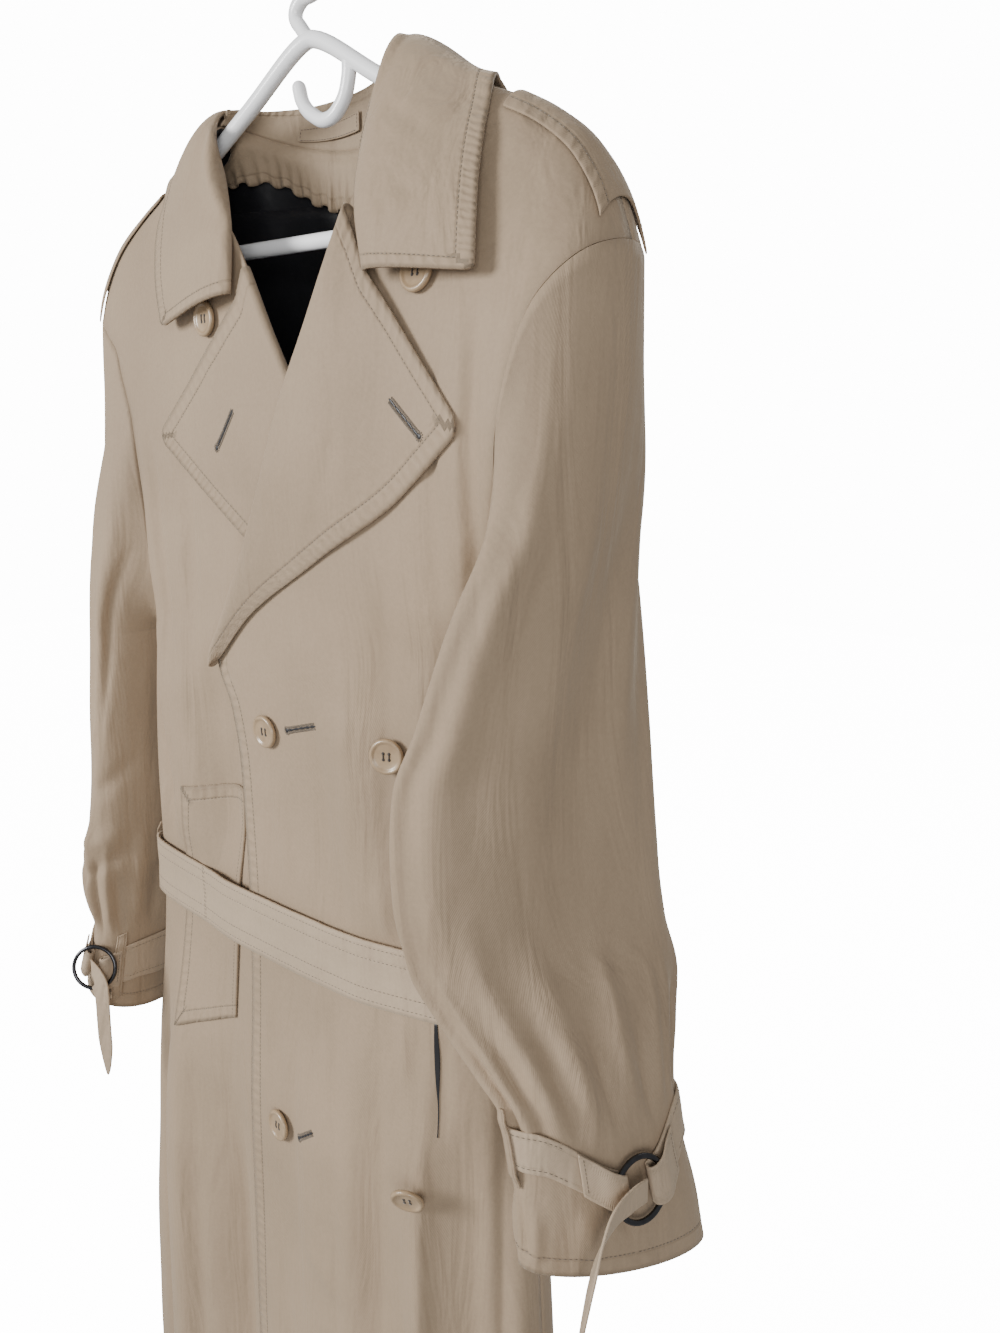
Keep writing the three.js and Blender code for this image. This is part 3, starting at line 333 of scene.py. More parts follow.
side_right, side_left = curves([
    [HEM, -258, 198], [-1050, -250, 192], [-820, -224, 182], [-720, -208, 172], [-659, -203, 163],
    [-590, -203, 165], [-520, -200, 171], [ARMPIT, -192, 178], [-405, -186, 184], [-350, -182, 190],
    [-300, -184, 198], [-262, -198, 206], [-243, -206, 212], [-231, -220, 219], [-214, -238, 232],
    [-207, -238, 238]])
SIDES = {"left": side_left, "right": side_right}
front_depth, back_depth, turn_of, wrap_of = curves([
    [HEM, -46, 62, 0.07, 1], [-820, -43, 57, 0.07, 1], [-659, -37, 46, 0.08, 1], [-520, -39, 49, 0.08, 1],
    [ARMPIT, -40, 50, 0.09, 1], [-405, -41, 50, 0.11, 0.5], [-350, -42, 50, 0.12, 0.15],
    [-300, -43, 50, 0.12, 0], [-230, -43, 49, 0.11, 0], [NECK_HEIGHT, -43, 48, 0.06, 0]])
shoulder_left, shoulder_right = curves([
    [NECK_HALF, NECK_HEIGHT, NECK_HEIGHT], [120, -109, -120.5], [150, -118, -137], [178, -131, -151],
    [200, -145, -164], [214, -158, -176], [228, -179, -193], [SHOULDER_HALF, -207, -214]])
overlap_of, = curves([
    [HEM, 4.6], [-540, 4.6], [-450, 9.5], [-250, 9.5], [-180, 6], [-135, 2], [NECK_HEIGHT, 0]])
inner_left, = curves([
    [HEM, -60], [-940, -58], [-560, -54], [-495, -60], [BREAK, -71], [-432, -51], [-383, -20], [-290, 29],
    [-230, 66], [-178, 82], [-135, 88], [NECK_HEIGHT, NECK_HALF]])
inner_right, = curves([
    [HEM, 50], [-430, 50], [-350, 47], [-289, 27], [-243, 0], [-191, -29], [-165, -48], [-140, -64],
    [-120, -78], [NECK_HEIGHT, -NECK_HALF]])
INNER = {"left": inner_left, "right": inner_right}

# Broad folds: face, top, bottom, x at the top, x at the bottom, half width, rise.
FOLDS = [
    (-1, -700, -1400, 112, 122, 20, 13), (-1, -700, -1400, 146, 158, 17, -8),
    (-1, -690, -1400, 20, 36, 26, 6), (-1, -700, -1400, -96, -112, 26, 6),
    (-1, -720, -1400, -150, -186, 22, 8), (-1, -470, -640, 60, 92, 24, 5),
    (-1, -470, -640, -150, -128, 20, 4), (1, -690, -1400, -60, -84, 34, 10),
    (1, -690, -1400, 48, 70, 34, 10), (1, -690, -1400, 118, 140, 26, -8),
    (1, -690, -1400, -132, -170, 28, -8), (1, -480, -640, -40, -20, 30, 6), (1, -480, -640, 70, 60, 28, 5)]
print("body tables:", len(FOLDS), "broad folds")

# %% Body functions


def neck_top(x):
    across = abs(x)
    if across >= NECK_HALF:
        return shoulder_left(across) if x > 0 else shoulder_right(across)
    return mix(NAPE, NECK_HEIGHT, (across / NECK_HALF) ** 2)


def ridge(x):
    return neck_top(x) + RIDGE_DROP * (2 / pi) * asin(max(0, 1 - (x / NECK_HALF) ** 2))


def crown(x, z):
    return sqrt(sin(clamp((ridge(x) - z) / RIDGE_DROP) * pi / 2))


def fold_rise(face, x, z):
    rise = 0
    for side, top, bottom, upper, lower, reach, height in FOLDS:
        if side == face and bottom <= z <= top:
            along = (top - z) / (top - bottom)
            ends = smooth(min(along, 1 - along) * 5)
            rise += height * ends * smooth(1 - abs(x - mix(upper, lower, along)) / (2 * reach))
    return rise


def panel_depth(face, x, z):
    left, right = side_left(z), side_right(z)
    s = min(1, abs(2 * x - left - right) / (left - right))
    round_off = (1 - s ** SQUARENESS) ** (1 / SQUARENESS)
    profile = 1 - wrap_of(z) * (1 - round_off)
    full = front_depth(z) - turn_of(z) * x if face < 0 else back_depth(z)
    return (full * profile + face * smooth((1 - s) * 6) * fold_rise(face, x, z)) * crown(x, z)


def overlap_lift(x, z):
    return overlap_of(z) * (1 - smooth((x - 60) / 60))


def front_point(side, x, z):
    lift = overlap_lift(x, z) if side == "left" else 0
    return vec(x, panel_depth(-1, x, z) - lift - GAP / 2, z)


def back_point(x, z):
    return vec(x, panel_depth(1, x, z) + GAP / 2, z)


def normal_of(point, x, z, reach=3):
    """Outward direction of a face at a place: point is front_point or back_point of x and z."""
    across = point(x + reach, z) - point(x - reach, z)
    up = point(x, z + reach) - point(x, z - reach)
    return across.cross(up).normalized()


print("waist depth:", round(panel_depth(-1, 0, -659)), "to", round(panel_depth(1, 0, -659)), "mm")

# %% [markdown]
# ## How a piece of cloth is made
# A piece starts as a flat grid. Each of its points has a place across and along the piece, and
# a function puts it on the form. Creases are then raised along the normals. They are drawn as
# short paths with a half width and a rise, so each can have its own length and depth. The
# Solidify modifier gives the thickness, and where the coat is lined its inner side is satin.

# %% Creases and cloth


def crease_lift(paths, a, b, closed=False):
    """Soft ridges and troughs in mm at the places a, b (arrays). A closed piece repeats at 360."""
    lift = np.zeros_like(a)
    for path, reach, rise in paths:
        near = np.full_like(a, 1e9)
        where = np.zeros_like(a)
        done = 0.0
        for (x0, z0), (x1, z1) in zip(path, path[1:]):
            size = hypot(x1 - x0, z1 - z0)
            for shift in ((-360, 0, 360) if closed else (0,)):
                t = np.clip(((a + shift - x0) * (x1 - x0) + (b - z0) * (z1 - z0)) / size ** 2, 0, 1)
                far = np.hypot(a + shift - x0 - (x1 - x0) * t, b - z0 - (z1 - z0) * t)
                where = np.where(far < near, done + t * size, where)
                near = np.minimum(far, near)
            done += size
        ends = np.clip(np.minimum(where, done - where) / (0.34 * done), 0, 1)
        ends = ends * ends * (3 - 2 * ends)
        lift += rise * ends * np.exp(-((near / (reach * (0.6 + 0.4 * ends))) ** 2))
    return lift


def waviness(points, seed, size=70.0, depth=0.6):
    """Slow unevenness of the cloth, the same at every run."""
    spots = (Vector((p.x / size, p.y / size + seed, p.z / (size * 1.8))) for p in points)
    return np.array([depth * noise.noise(spot) for spot in spots])


trees = {}
made_pieces = {}


def finish_object(name, bm, materials, nodes=()):
    label = f"{name}_made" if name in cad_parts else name
    mesh = bpy.data.meshes.new(label)
    bm.to_mesh(mesh)
    bm.free()
    mesh.shade_smooth()
    for finish in materials:
        mesh.materials.append(finish)
    made = bpy.data.objects.new(label, mesh)
    bpy.context.scene.collection.objects.link(made)
    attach(made, "root")
    if nodes:
        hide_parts(*nodes)
    made_pieces[name] = made
    return made


def cloth(name, across, along, place, size, away, relief=None, closed=False, band=None,
          inside=None, thick=CLOTH, finish=None, nodes=(), even=0, soften=0):
    """A piece of cloth in mm. place(a, b) is its outer face; away is a point behind it."""
    bm = bmesh.new()
    uv = bm.loops.layers.uv.new("UVMap")
    bmesh.ops.create_grid(bm, x_segments=across, y_segments=along, size=0.5)
    spot_a = bm.verts.layers.float.new("a")
    spot_b = bm.verts.layers.float.new("b")
    for v in bm.verts:
        v[spot_a], v[spot_b] = v.co.x + 0.5, v.co.y + 0.5
    for face in bm.faces:
        for loop in face.loops:
            loop[uv].uv = (loop.vert[spot_a] * size[0] * MM, loop.vert[spot_b] * size[1] * MM)
    for v in bm.verts:
        v.co = place(v[spot_a], v[spot_b])
    if closed:
        bmesh.ops.remove_doubles(bm, verts=bm.verts, dist=0.01)
    for _ in range(even):
        inner = [v for v in bm.verts if not v.is_boundary]
        bmesh.ops.smooth_vert(bm, verts=inner, factor=0.5, use_axis_x=True, use_axis_y=True, use_axis_z=True)
    bm.normal_update()
    behind = Vector(away)
    if sum(f.normal.dot(f.calc_center_median() - behind) * f.calc_area() for f in bm.faces) < 0:
        bmesh.ops.reverse_faces(bm, faces=bm.faces)
        bm.normal_update()
    if relief:
        a = np.array([v[spot_a] for v in bm.verts])
        b = np.array([v[spot_b] for v in bm.verts])
        lift = relief(a, b, [v.co for v in bm.verts])
        for v, rise in zip(bm.verts, lift):
            v.co += v.normal * float(rise)
    near = bm.verts.layers.float.new("band")
    run = bm.verts.layers.float.new("run")
    for v in bm.verts:
        v[near], v[run] = band(v[spot_a], v[spot_b]) if band else (99.0, 0.0)
    trees[name] = BVHTree.FromBMesh(bm)
    area = sum(f.calc_area() for f in bm.faces) * MM * MM
    bmesh.ops.scale(bm, verts=bm.verts, vec=(MM, MM, MM))
    materials = [finish or cloth_finish] + ([inside] if inside else [])
    own_node = (name,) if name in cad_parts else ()
    made = finish_object(name, bm, materials, nodes or own_node)
    solid = made.modifiers.new("thickness", "SOLIDIFY")
    solid.thickness = thick * MM
    solid.offset = -1
    solid.material_offset = 1 if inside else 0
    if soften:
        sub = made.modifiers.new("soften", "SUBSURF")
        sub.levels = sub.render_levels = soften
    print(f"{name}: {len(made.data.polygons)} faces, {area:.4f} m2")
    return made


print("cloth maker ready")

# %% [markdown]
# ## Fronts and back
# The left front lies over the right one. Long folds fall from the shoulders and the belt, and
# short ones gather above and below the belt. Ridges and troughs lie side by side but never
# match, because cloth gives way where it happens to be weakest.

# %% Creases of the fronts and back
LEFT_CREASES = [
    ([(181, -215), (178, -290), (173, -360), (168, -470)], 7, -2.6),
    ([(165, -225), (162, -330), (160, -420)], 8, 2.2),
    ([(150, -260), (146, -360), (140, -440)], 7, -1.5), ([(128, -330), (124, -440), (120, -560)], 10, 1.9),
    ([(100, -380), (96, -470), (92, -600)], 9, -1.6), ([(70, -430), (64, -540), (60, -620)], 8, 1.5),
    ([(30, -480), (36, -560), (30, -625)], 7, -1.2), ([(-20, -520), (-10, -580), (0, -628)], 6, 1.2),
    ([(176, -480), (160, -560), (150, -625)], 9, 2.4), ([(186, -440), (172, -520), (168, -600)], 6, -2.2),
    ([(120, -575), (118, -605), (116, -640)], 4.5, -1.8), ([(88, -590), (90, -640)], 4, 1.5),
    ([(52, -600), (50, -640)], 4, -1.2), ([(142, -575), (140, -640)], 5, 1.8),
    ([(12, -596), (16, -640)], 4, 1.1),
    ([(118, -674), (121, -760), (122, -980), (118, -1400)], 4.4, 3.4),
    ([(98, -700), (102, -900), (98, -1400)], 13, -3.6),
    ([(168, -640), (172, -900), (176, -1400)], 8, -6.5), ([(131, -680), (132, -775)], 5, -1.6),
    ([(80, -676), (84, -820), (78, -1000)], 9, -2.2), ([(60, -676), (56, -900), (60, -1200)], 12, 2.6),
    ([(40, -676), (44, -760)], 4.5, -1.6), ([(4, -890), (28, -908), (51, -930)], 5, 1.5),
    ([(0, -676), (-6, -800), (-2, -1000)], 8, -1.5), ([(-30, -676), (-34, -770)], 4.5, 1.2),
    ([(100, -676), (104, -740)], 4.5, 1.8), ([(22, -676), (20, -730)], 4, 1.4),
    ([(165, -690), (172, -900), (176, -1250)], 10, 3), ([(95, -860), (100, -1100), (96, -1310)], 12, -2.8),
    ([(-40, -880), (-30, -1080), (-38, -1310)], 14, 1.8), ([(20, -960), (14, -1120), (22, -1310)], 10, -2),
    ([(140, -900), (146, -1100), (150, -1310)], 8, -2.6)]
RIGHT_CREASES = [
    ([(-92, -660), (-96, -900), (-98, -1500)], 30, -10.5),
    ([(-88, -440), (-92, -560), (-96, -660)], 26, -8.5),
    ([(-150, -650), (-160, -900), (-172, -1500)], 16, 5.5),
    ([(-64, -356), (-60, -400), (-60, -446)], 3.2, 1.7), ([(-50, -360), (-46, -400), (-46, -436)], 3, 1.5),
    ([(-110, -260), (-114, -360), (-118, -480)], 9, -2),
    ([(-135, -300), (-138, -420), (-132, -560)], 9, 2.2),
    ([(-160, -280), (-162, -380), (-158, -500)], 8, -2.2),
    ([(-176, -330), (-172, -450), (-166, -600)], 8, 2.4),
    ([(-90, -420), (-92, -520), (-98, -560)], 8, 1.6), ([(-70, -450), (-74, -510), (-72, -560)], 6, -1.4),
    ([(-186, -450), (-176, -540), (-170, -640)], 7, -2.6), ([(-156, -570), (-152, -640)], 5, 1.8),
    ([(-184, -580), (-186, -640)], 5, 1.8), ([(-120, -800), (-128, -1000), (-130, -1310)], 12, 2.8),
    ([(-160, -676), (-176, -860), (-186, -1100), (-190, -1310)], 10, 3.2),
    ([(-190, -676), (-206, -860), (-216, -1250)], 9, -3),
    ([(-60, -770), (-66, -960), (-62, -1250)], 11, 2.2),
    ([(-30, -900), (-34, -1100), (-30, -1310)], 12, -1.8),
    ([(-145, -860), (-150, -1100), (-160, -1310)], 9, -2.6),
    ([(-90, -800), (-96, -960), (-92, -1200)], 10, -2.2),
    ([(-60, -310), (-72, -350), (-76, -430)], 6, -1.2), ([(-20, -440), (-24, -520), (-18, -600)], 8, 1.3)]
BACK_CREASES = [
    ([(-150, -210), (-146, -330), (-140, -480), (-128, -630)], 12, 2.8),
    ([(-100, -240), (-104, -400), (-96, -620)], 12, -2.3),
    ([(-50, -230), (-46, -360), (-52, -600)], 11, 2.2), ([(0, -250), (6, -420), (-4, -640)], 10, -2),
    ([(52, -240), (48, -380), (56, -620)], 12, 2.5), ([(104, -230), (108, -360), (100, -560)], 10, -2.2),
    ([(150, -240), (148, -360), (132, -560)], 11, 2.8),
    ([(-176, -360), (-172, -470), (-160, -600)], 9, -2.6),
    ([(168, -380), (160, -470), (150, -610)], 9, -2.6), ([(-120, -560), (-124, -640)], 5, -1.8),
    ([(-92, -585), (-88, -640)], 4.5, 1.6), ([(-66, -570), (-70, -640)], 5, -1.5),
    ([(-30, -590), (-28, -640)], 4.5, 1.8),
    ([(22, -575), (18, -640)], 5, 1.6), ([(44, -592), (46, -640)], 4, -1.6),
    ([(84, -566), (88, -640)], 5.5, 1.9),
    ([(122, -586), (118, -640)], 5, -1.7), ([(-180, -676), (-200, -900), (-214, -1300)], 14, 3.6),
    ([(-146, -676), (-160, -960), (-176, -1310)], 12, -3),
    ([(-108, -676), (-118, -820), (-124, -1100)], 10, 2.4),
    ([(-60, -676), (-70, -960), (-64, -1310)], 14, 3), ([(-22, -676), (-26, -860), (-30, -1250)], 11, -2.8),
    ([(18, -676), (22, -900), (14, -1310)], 12, 2.6), ([(58, -676), (60, -800), (70, -1100)], 10, -2.4),
    ([(96, -676), (104, -900), (98, -1310)], 13, 3.2), ([(140, -676), (146, -960), (152, -1310)], 12, -3),
    ([(-88, -676), (-84, -740)], 5, -1.8), ([(-2, -676), (0, -730)], 5, 1.6),
    ([(38, -676), (40, -750)], 5, 1.7),
    ([(78, -676), (80, -726)], 4.5, -1.5), ([(120, -676), (118, -740)], 5, 1.6)]
print("creases:", len(LEFT_CREASES) + len(RIGHT_CREASES) + len(BACK_CREASES))

# %% Fronts
UPPER_SHARE = 0.36


def split_height(w):
    """Share of the piece's length: below 0 it is a height down to the hem, above it a level."""
    low = 1 - UPPER_SHARE
    if w <= low:
        return mix(HEM, ARMPIT, w / low), None
    return None, 1 - (1 - (w - low) / UPPER_SHARE) ** 1.5


def front_place(side):
    sign = 1 if side == "left" else -1

    def place(u, w):
        f = sin(u * pi / 2)
        z, level = split_height(w)
        if level is None:
            return front_point(side, mix(INNER[side](z), SIDES[side](z), f), z)
        inner = INNER[side](mix(ARMPIT, NECK_HEIGHT, level))
        outer = SIDES[side](mix(ARMPIT, TIP[side], level))
        top = neck_top(sign * mix(NECK_HALF, SHOULDER_HALF, f))
        return front_point(side, mix(inner, outer, f), mix(ARMPIT, top, level))

    return place


def panel_relief(creases, seed, two_seams):
    """Creases and unevenness of a panel, fading out at its seams."""
    def relief(a, b, points):
        x = np.array([p.x for p in points])
        z = np.array([p.z for p in points])
        seams = np.clip((1 - b) * 9, 0, 1) * np.clip((1 - a) * 14, 0, 1)
        if two_seams:
            seams = seams * np.clip(a * 14, 0, 1)
        lift = 1.7 * crease_lift(creases, x, z) + waviness(points, seed, 60.0, 1.0)
        # Under the lapels and the collar the cloth is held nearly flat.
        below = np.clip((-445 - z) / 35, 0, 1)
        beside = np.clip((np.abs(x + 3) - 176) / 10, 0, 1) * np.clip((-235 - z) / 25, 0, 1)
        # The lining lies close behind the back, so the back's creases only stand outwards.
        deepest = -0.3 if two_seams else -24
        return seams * np.clip(lift, deepest, 1.0 + 8 * np.clip(below + beside, 0, 1))

    return relief


# Distance from the left front's edge below the lapel: it sets the puckers and the painted shade along that
# edge.
def front_band(side, place):
    def band(u, w):
        point = place(u, w)
        if point.z > -440:
            return 99.0, point.z
        return point.x - INNER["left"](point.z) if side == "left" else 99.0, point.z

    return band


for side, creases, seed in (("left", LEFT_CREASES, 3), ("right", RIGHT_CREASES, 11)):
    place = front_place(side)
    cloth(f"front_{side}", 66, 190, place, (300, 1190), (0, 600, -700), panel_relief(creases, seed, False),
          band=front_band(side, place), inside=satin_and_slit_shade)

# %% Back


def back_place(u, w):
    f = sin((2 * u - 1) * pi / 2)
    z, level = split_height(w)
    if level is None:
        return back_point(mix(side_right(z), side_left(z), (f + 1) / 2), z)
    right = side_right(mix(ARMPIT, TIP["right"], level))
    left = side_left(mix(ARMPIT, TIP["left"], level))
    return back_point(mix(right, left, (f + 1) / 2), mix(ARMPIT, neck_top(f * SHOULDER_HALF), level))


cloth("back", 116, 180, back_place, (470, 1190), (0, -600, -700),
      panel_relief(BACK_CREASES, 23, True), inside=satin_and_slit_shade)

# %% [markdown]
# ## Sleeves
# A sleeve is sewn into the armhole and hangs as a flattened tube. The strap draws it in above
# the hem, so the cloth bags over it in uneven gathers. The tube is one grid that is welded
# where its two sides meet.

# %% Sleeve tables
sleeve_rows = {
    "left": curves([
        [-766, 273, -52, 65, 22, 22, 0.24, 0], [-735, 268, -52, 62, 23, 22, 0.2, 0],
        [-712, 262, -51, 58, 23, 22, 0.15, 0], [-699, 259, -51, 57, 23, 22, 0.13, 0],
        [-684, 256, -51, 57, 23, 22, 0.1, 0], [-668, 250, -50, 59, 25, 22, 0.06, 0],
        [-650, 241, -46, 65, 27, 24, 0, 0], [-625, 224, -38, 77, 28, 26, 0, 0],
        [-600, 210, -36, 84, 27, 27, 0, 0], [-563, 204, -39, 86, 25, 27, 0, 0],
        [-500, 200, -38, 84, 23, 25, 0, 0], [-463, 203, -32, 81, 22, 17.5, 0, 0],
        [-400, 205, -21, 77, 24, 8, 0, 0], [-355, 206, -10, 72, 26, 0, 0, 0],
        [-280, 208, 0, 62, 28, 0, 0, 0], [-207, 212, 0, 50, 28, 0, 0, 0]]),
    "right": curves([
        [-776, -251, -2, 59, 23, -10, 0.05, 1], [-754, -251, 1, 58, 23, -10, 0.04, 0.8],
        [-738, -251, 4, 56, 22, -10, 0.02, 0.55], [-722, -250, 7, 56, 23, -10, 0, 0.35],
        [-704, -250, 10, 61, 25, -9, 0, 0.18], [-684, -251, 16, 69, 29, -8, 0, 0],
        [-655, -249, 22, 75, 31, -8, 0, 0], [-620, -247, 26, 75, 30, -8, 0, 0],
        [-563, -242, 29, 74, 28, -8, 0, 0], [-463, -234, 28, 68, 27, -6, 0, 0],
        [-400, -228, 28, 66, 27, -3, 0, 0], [-355, -222, 24, 64, 27, 0, 0, 0],
        [-280, -214, 14, 58, 27, 0, 0, 0], [-214, -212, 0, 50, 27, 0, 0, 0]])}
SLEEVE_FOLDS = [(35, 22, -300, -690, 4), (78, 16, -380, -640, -4), (330, 26, -330, -700, -4)]
ARMPIT_TURN = {"left": 197, "right": 158}
SLEEVE_END = {"left": -766, "right": -776}
LEVELS = {"left": [-450, -400, -345, -290, -235, -182, -145, -120, -107, -101],
          "right": [-450, -405, -350, -300, -250, -205, -160, -125, -107, -101]}
print("sleeve rows ready")

# %% Sleeve functions


def sleeve_point(side, turn, z, out=0.0):
    """Turn 0 faces outwards, 90 forwards, 180 the body and 270 backwards."""
    sign = 1 if side == "left" else -1
    across, depth, half, thick, heading, slope, lean = (row(z) for row in sleeve_rows[side])
    heading = radians(heading)
    rise = out
    for middle, spread, top, bottom, height in SLEEVE_FOLDS:
        off = abs((turn - middle + 540) % 360 - 180)
        rise += height * sin(clamp((top - z) / (top - bottom)) * pi) * smooth(1 - off / (2 * spread))
    flat = (half + rise) * -sin(radians(turn))
    thick = (thick + rise) * cos(radians(turn)) * sign
    return vec(across + flat * sin(heading) + thick * cos(heading),
               depth + flat * cos(heading) - thick * sin(heading),
               z - slope * flat + lean * thick * sign)


def level_at(side, index):
    heights = LEVELS[side]
    i = min(8, int(index))
    z = mix(heights[i], heights[i + 1], index - i)
    return (z - ARMPIT) / (NECK_HEIGHT - ARMPIT)


def armhole(side, turn):
    """The seam of the sleeve, on the outer columns of the front and the back."""
    sign = 1 if side == "left" else -1
    half = ARMPIT_TURN[side]
    if turn <= half:
        level = level_at(side, 9 - 9 * turn / half)
        face = -1
    else:
        level = level_at("left", 9 * (turn - half) / (360 - half))
        face = 1
    x = SIDES[side](mix(ARMPIT, TIP[side], level))
    z = mix(ARMPIT, neck_top(sign * SHOULDER_HALF), level)
    point = front_point(side, x, z) if face < 0 else back_point(x, z)
    return point + vec(0.42 * sign, 0, -0.38)


SLEEVE_START, SEWN_SHARE = -463, 0.3  # where the free tube starts, and the share of the grid above it


def sleeve_drop(side):
    """The height of the whole grid, if it all ran as the free tube does."""
    return (SLEEVE_START - SLEEVE_END[side]) / (1 - SEWN_SHARE)


def sleeve_place(side):

    def place(a, b):
        turn = a * 360
        if b < SEWN_SHARE:
            k = 1 - (1 - b / SEWN_SHARE) ** 1.4
            seam = armhole(side, turn % 360)
            z = mix(seam.z, SLEEVE_START, k)
            target = sleeve_point(side, turn, z)
            spread = 1 - (1 - k) ** 2
            return vec(mix(seam.x, target.x, spread), mix(seam.y, target.y, spread), z)
        free = (b - SEWN_SHARE) / (1 - SEWN_SHARE)
        return sleeve_point(side, turn, mix(SLEEVE_START, SLEEVE_END[side], free))

    return place


print("armhole top:", [round(c) for c in armhole("left", 0)])

# %% Creases of the sleeves
LONG_SLEEVE = [
    ([(100, -300), (98, -420), (92, -560), (84, -660)], 13, 2.2),
    ([(60, -260), (58, -400), (52, -560), (50, -650)], 10, 2.2),
    ([(40, -280), (34, -420), (30, -560)], 9, -2),
    ([(14, -300), (10, -440), (8, -600)], 10, 2.2), ([(-14, -280), (-18, -420), (-14, -600)], 10, -2.2),
    ([(118, -370), (112, -470), (100, -560)], 7, -2.6),
    ([(200, -460), (204, -600)], 10, 2.2), ([(230, -300), (226, -460), (232, -640)], 12, -2.6),
    ([(262, -280), (258, -420), (264, -620)], 11, 2.6), ([(294, -300), (300, -460), (296, -600)], 11, -2.4),
    ([(322, -260), (318, -400), (324, -560)], 10, 2.2), ([(160, -480), (156, -600)], 9, -2)]
# Gathers over the strap: turn, how far up they reach, half width, rise.
GATHERS = [
    (-42, 62, 5, 2.4), (-29, 40, 4.5, -2.2), (-15, 84, 5.5, 3), (-1, 48, 4.5, -2.6), (13, 96, 6, 3.2),
    (25, 52, 4.5, -2.6), (37, 110, 6, 3), (49, 46, 4.5, -2.2), (61, 78, 5.5, 2.8), (73, 40, 4.5, -2.6),
    (85, 100, 6, 3), (98, 56, 5, -2.8), (112, 70, 5.5, 2.6), (126, 44, 5, -2.4), (143, 80, 6, 2.6),
    (160, 50, 5, -2.2), (178, 90, 6, 2.4), (196, 48, 5, -2.4), (212, 76, 6, 2.8), (230, 42, 5, -2.4),
    (246, 92, 6, 3), (262, 50, 5, -2.4),
    (278, 70, 5.5, 2.6), (292, 46, 5, -2.2), (305, 66, 5.5, 2.2)]
CUFF_CREASES = {
    "left": [([(86, -708), (76, -750)], 4.5, -2), ([(64, -712), (68, -760)], 5, 1.7),
             ([(30, -716), (24, -760)], 6, 1.4),
             ([(104, -712), (108, -755)], 5, 1.6), ([(6, -712), (4, -750)], 5, -1.6)],
    "right": [([(80, -744), (72, -772)], 5, -1.8), ([(104, -744), (110, -774)], 5, 1.6),
              ([(50, -744), (48, -770)], 5, 1.5)]}
ELBOW_FOLDS = [([(40, -652), (85, -668), (130, -650), (175, -662)], 7, -2.6),
               ([(50, -634), (95, -640), (140, -628)], 8, 2.2),
               ([(70, -600), (110, -590), (150, -560)], 8, -1.8), ([(60, -560), (96, -540)], 8, 1.6)]
STRAP_TOP = {"left": -668, "right": -704}
SLEEVE_SEED = {"left": 31, "right": 47}


def sleeve_relief(side):
    top = STRAP_TOP[side]
    paths = LONG_SLEEVE + CUFF_CREASES[side] + (ELBOW_FOLDS if side == "right" else [])
    paths = paths + [([(turn, top + rise_up), (turn + 2, top + 12), (turn, top - 26)], reach, rise)
                     for turn, rise_up, reach, rise in GATHERS]

    def relief(a, b, points):
        turn = a * 360
        z = np.array([p.z for p in points])
        fade = np.clip(b * 12, 0, 1) * np.clip((1 - b) * 30, 0.2, 1)
        uneven = waviness(points, SLEEVE_SEED[side], 60.0, 1.0)
        return fade * (1.15 * crease_lift(paths, turn, z, closed=True) + uneven)

    return relief


for side in ("left", "right"):
    cloth(f"sleeve_{side}", 120, 136, sleeve_place(side), (400, 560), (sleeve_rows[side][0](-600), 0, -560),
          sleeve_relief(side), closed=True, inside=satin_and_slit_shade,
          band=lambda a, b, drop=sleeve_drop(side): ((1 - b) * drop + 0.5, 0.0))

# %% [markdown]
# ## Lapels
# A lapel is the turned-back top of a front. Its cloth rolls round the fold line and lies on
# the front. A row of the grid goes half a turn round the roll and then out to the edge.

# %% Lapels
LAPEL_TOP = {"left": -182, "right": -205}
LAPEL_BREAK = {"left": BREAK, "right": -405}
FOLD_RADIUS = {"left": 3, "right": 2}
LAPEL_EDGE = {
    "left": curves([[0, 175, -305], [0.3, 112, -351], [0.6, 45, -389], [0.85, -22, -426], [1, -65, -463]]),
    "right": curves([[0, -142, -308], [0.35, -84, -347], [0.7, -20, -387], [1, 26, -416]])}
NOTCH = {"left": (0.28, -7, -2), "right": (0.12, 6, -4.5)}
FOLD_SHARE = 0.2
EDGE_SEAM = 11.0


LAPEL_REACH = {"left": 293, "right": 190}  # how far down its edge a lapel runs
CORNER = 13  # radius of a lapel's rounded corner


def round_corner(s, v, wide, high, radius):
    """Turns the corner where s is 1 and v is 0 into an arc, by moving places near it inwards."""
    a, c = (1 - s) * wide, v * high
    if a >= radius or c >= radius:
        return s, v
    p, q = 1 - a / radius, 1 - c / radius
    a, c = radius * (1 - p * sqrt(1 - q * q / 2)), radius * (1 - q * sqrt(1 - p * p / 2))
    return 1 - a / wide, c / high


def lapel_spot(side, v):
    """The roll, the way out to the edge and its length at a share of the lapel's height."""
    height = mix(LAPEL_TOP[side], LAPEL_BREAK[side], v)
    roll = front_point(side, INNER[side](height), height)
    edge_x, edge_z = (column(v) for column in LAPEL_EDGE[side])
    out = vec(edge_x - roll.x, 0, edge_z - roll.z)
    return roll, out.normalized(), out.length


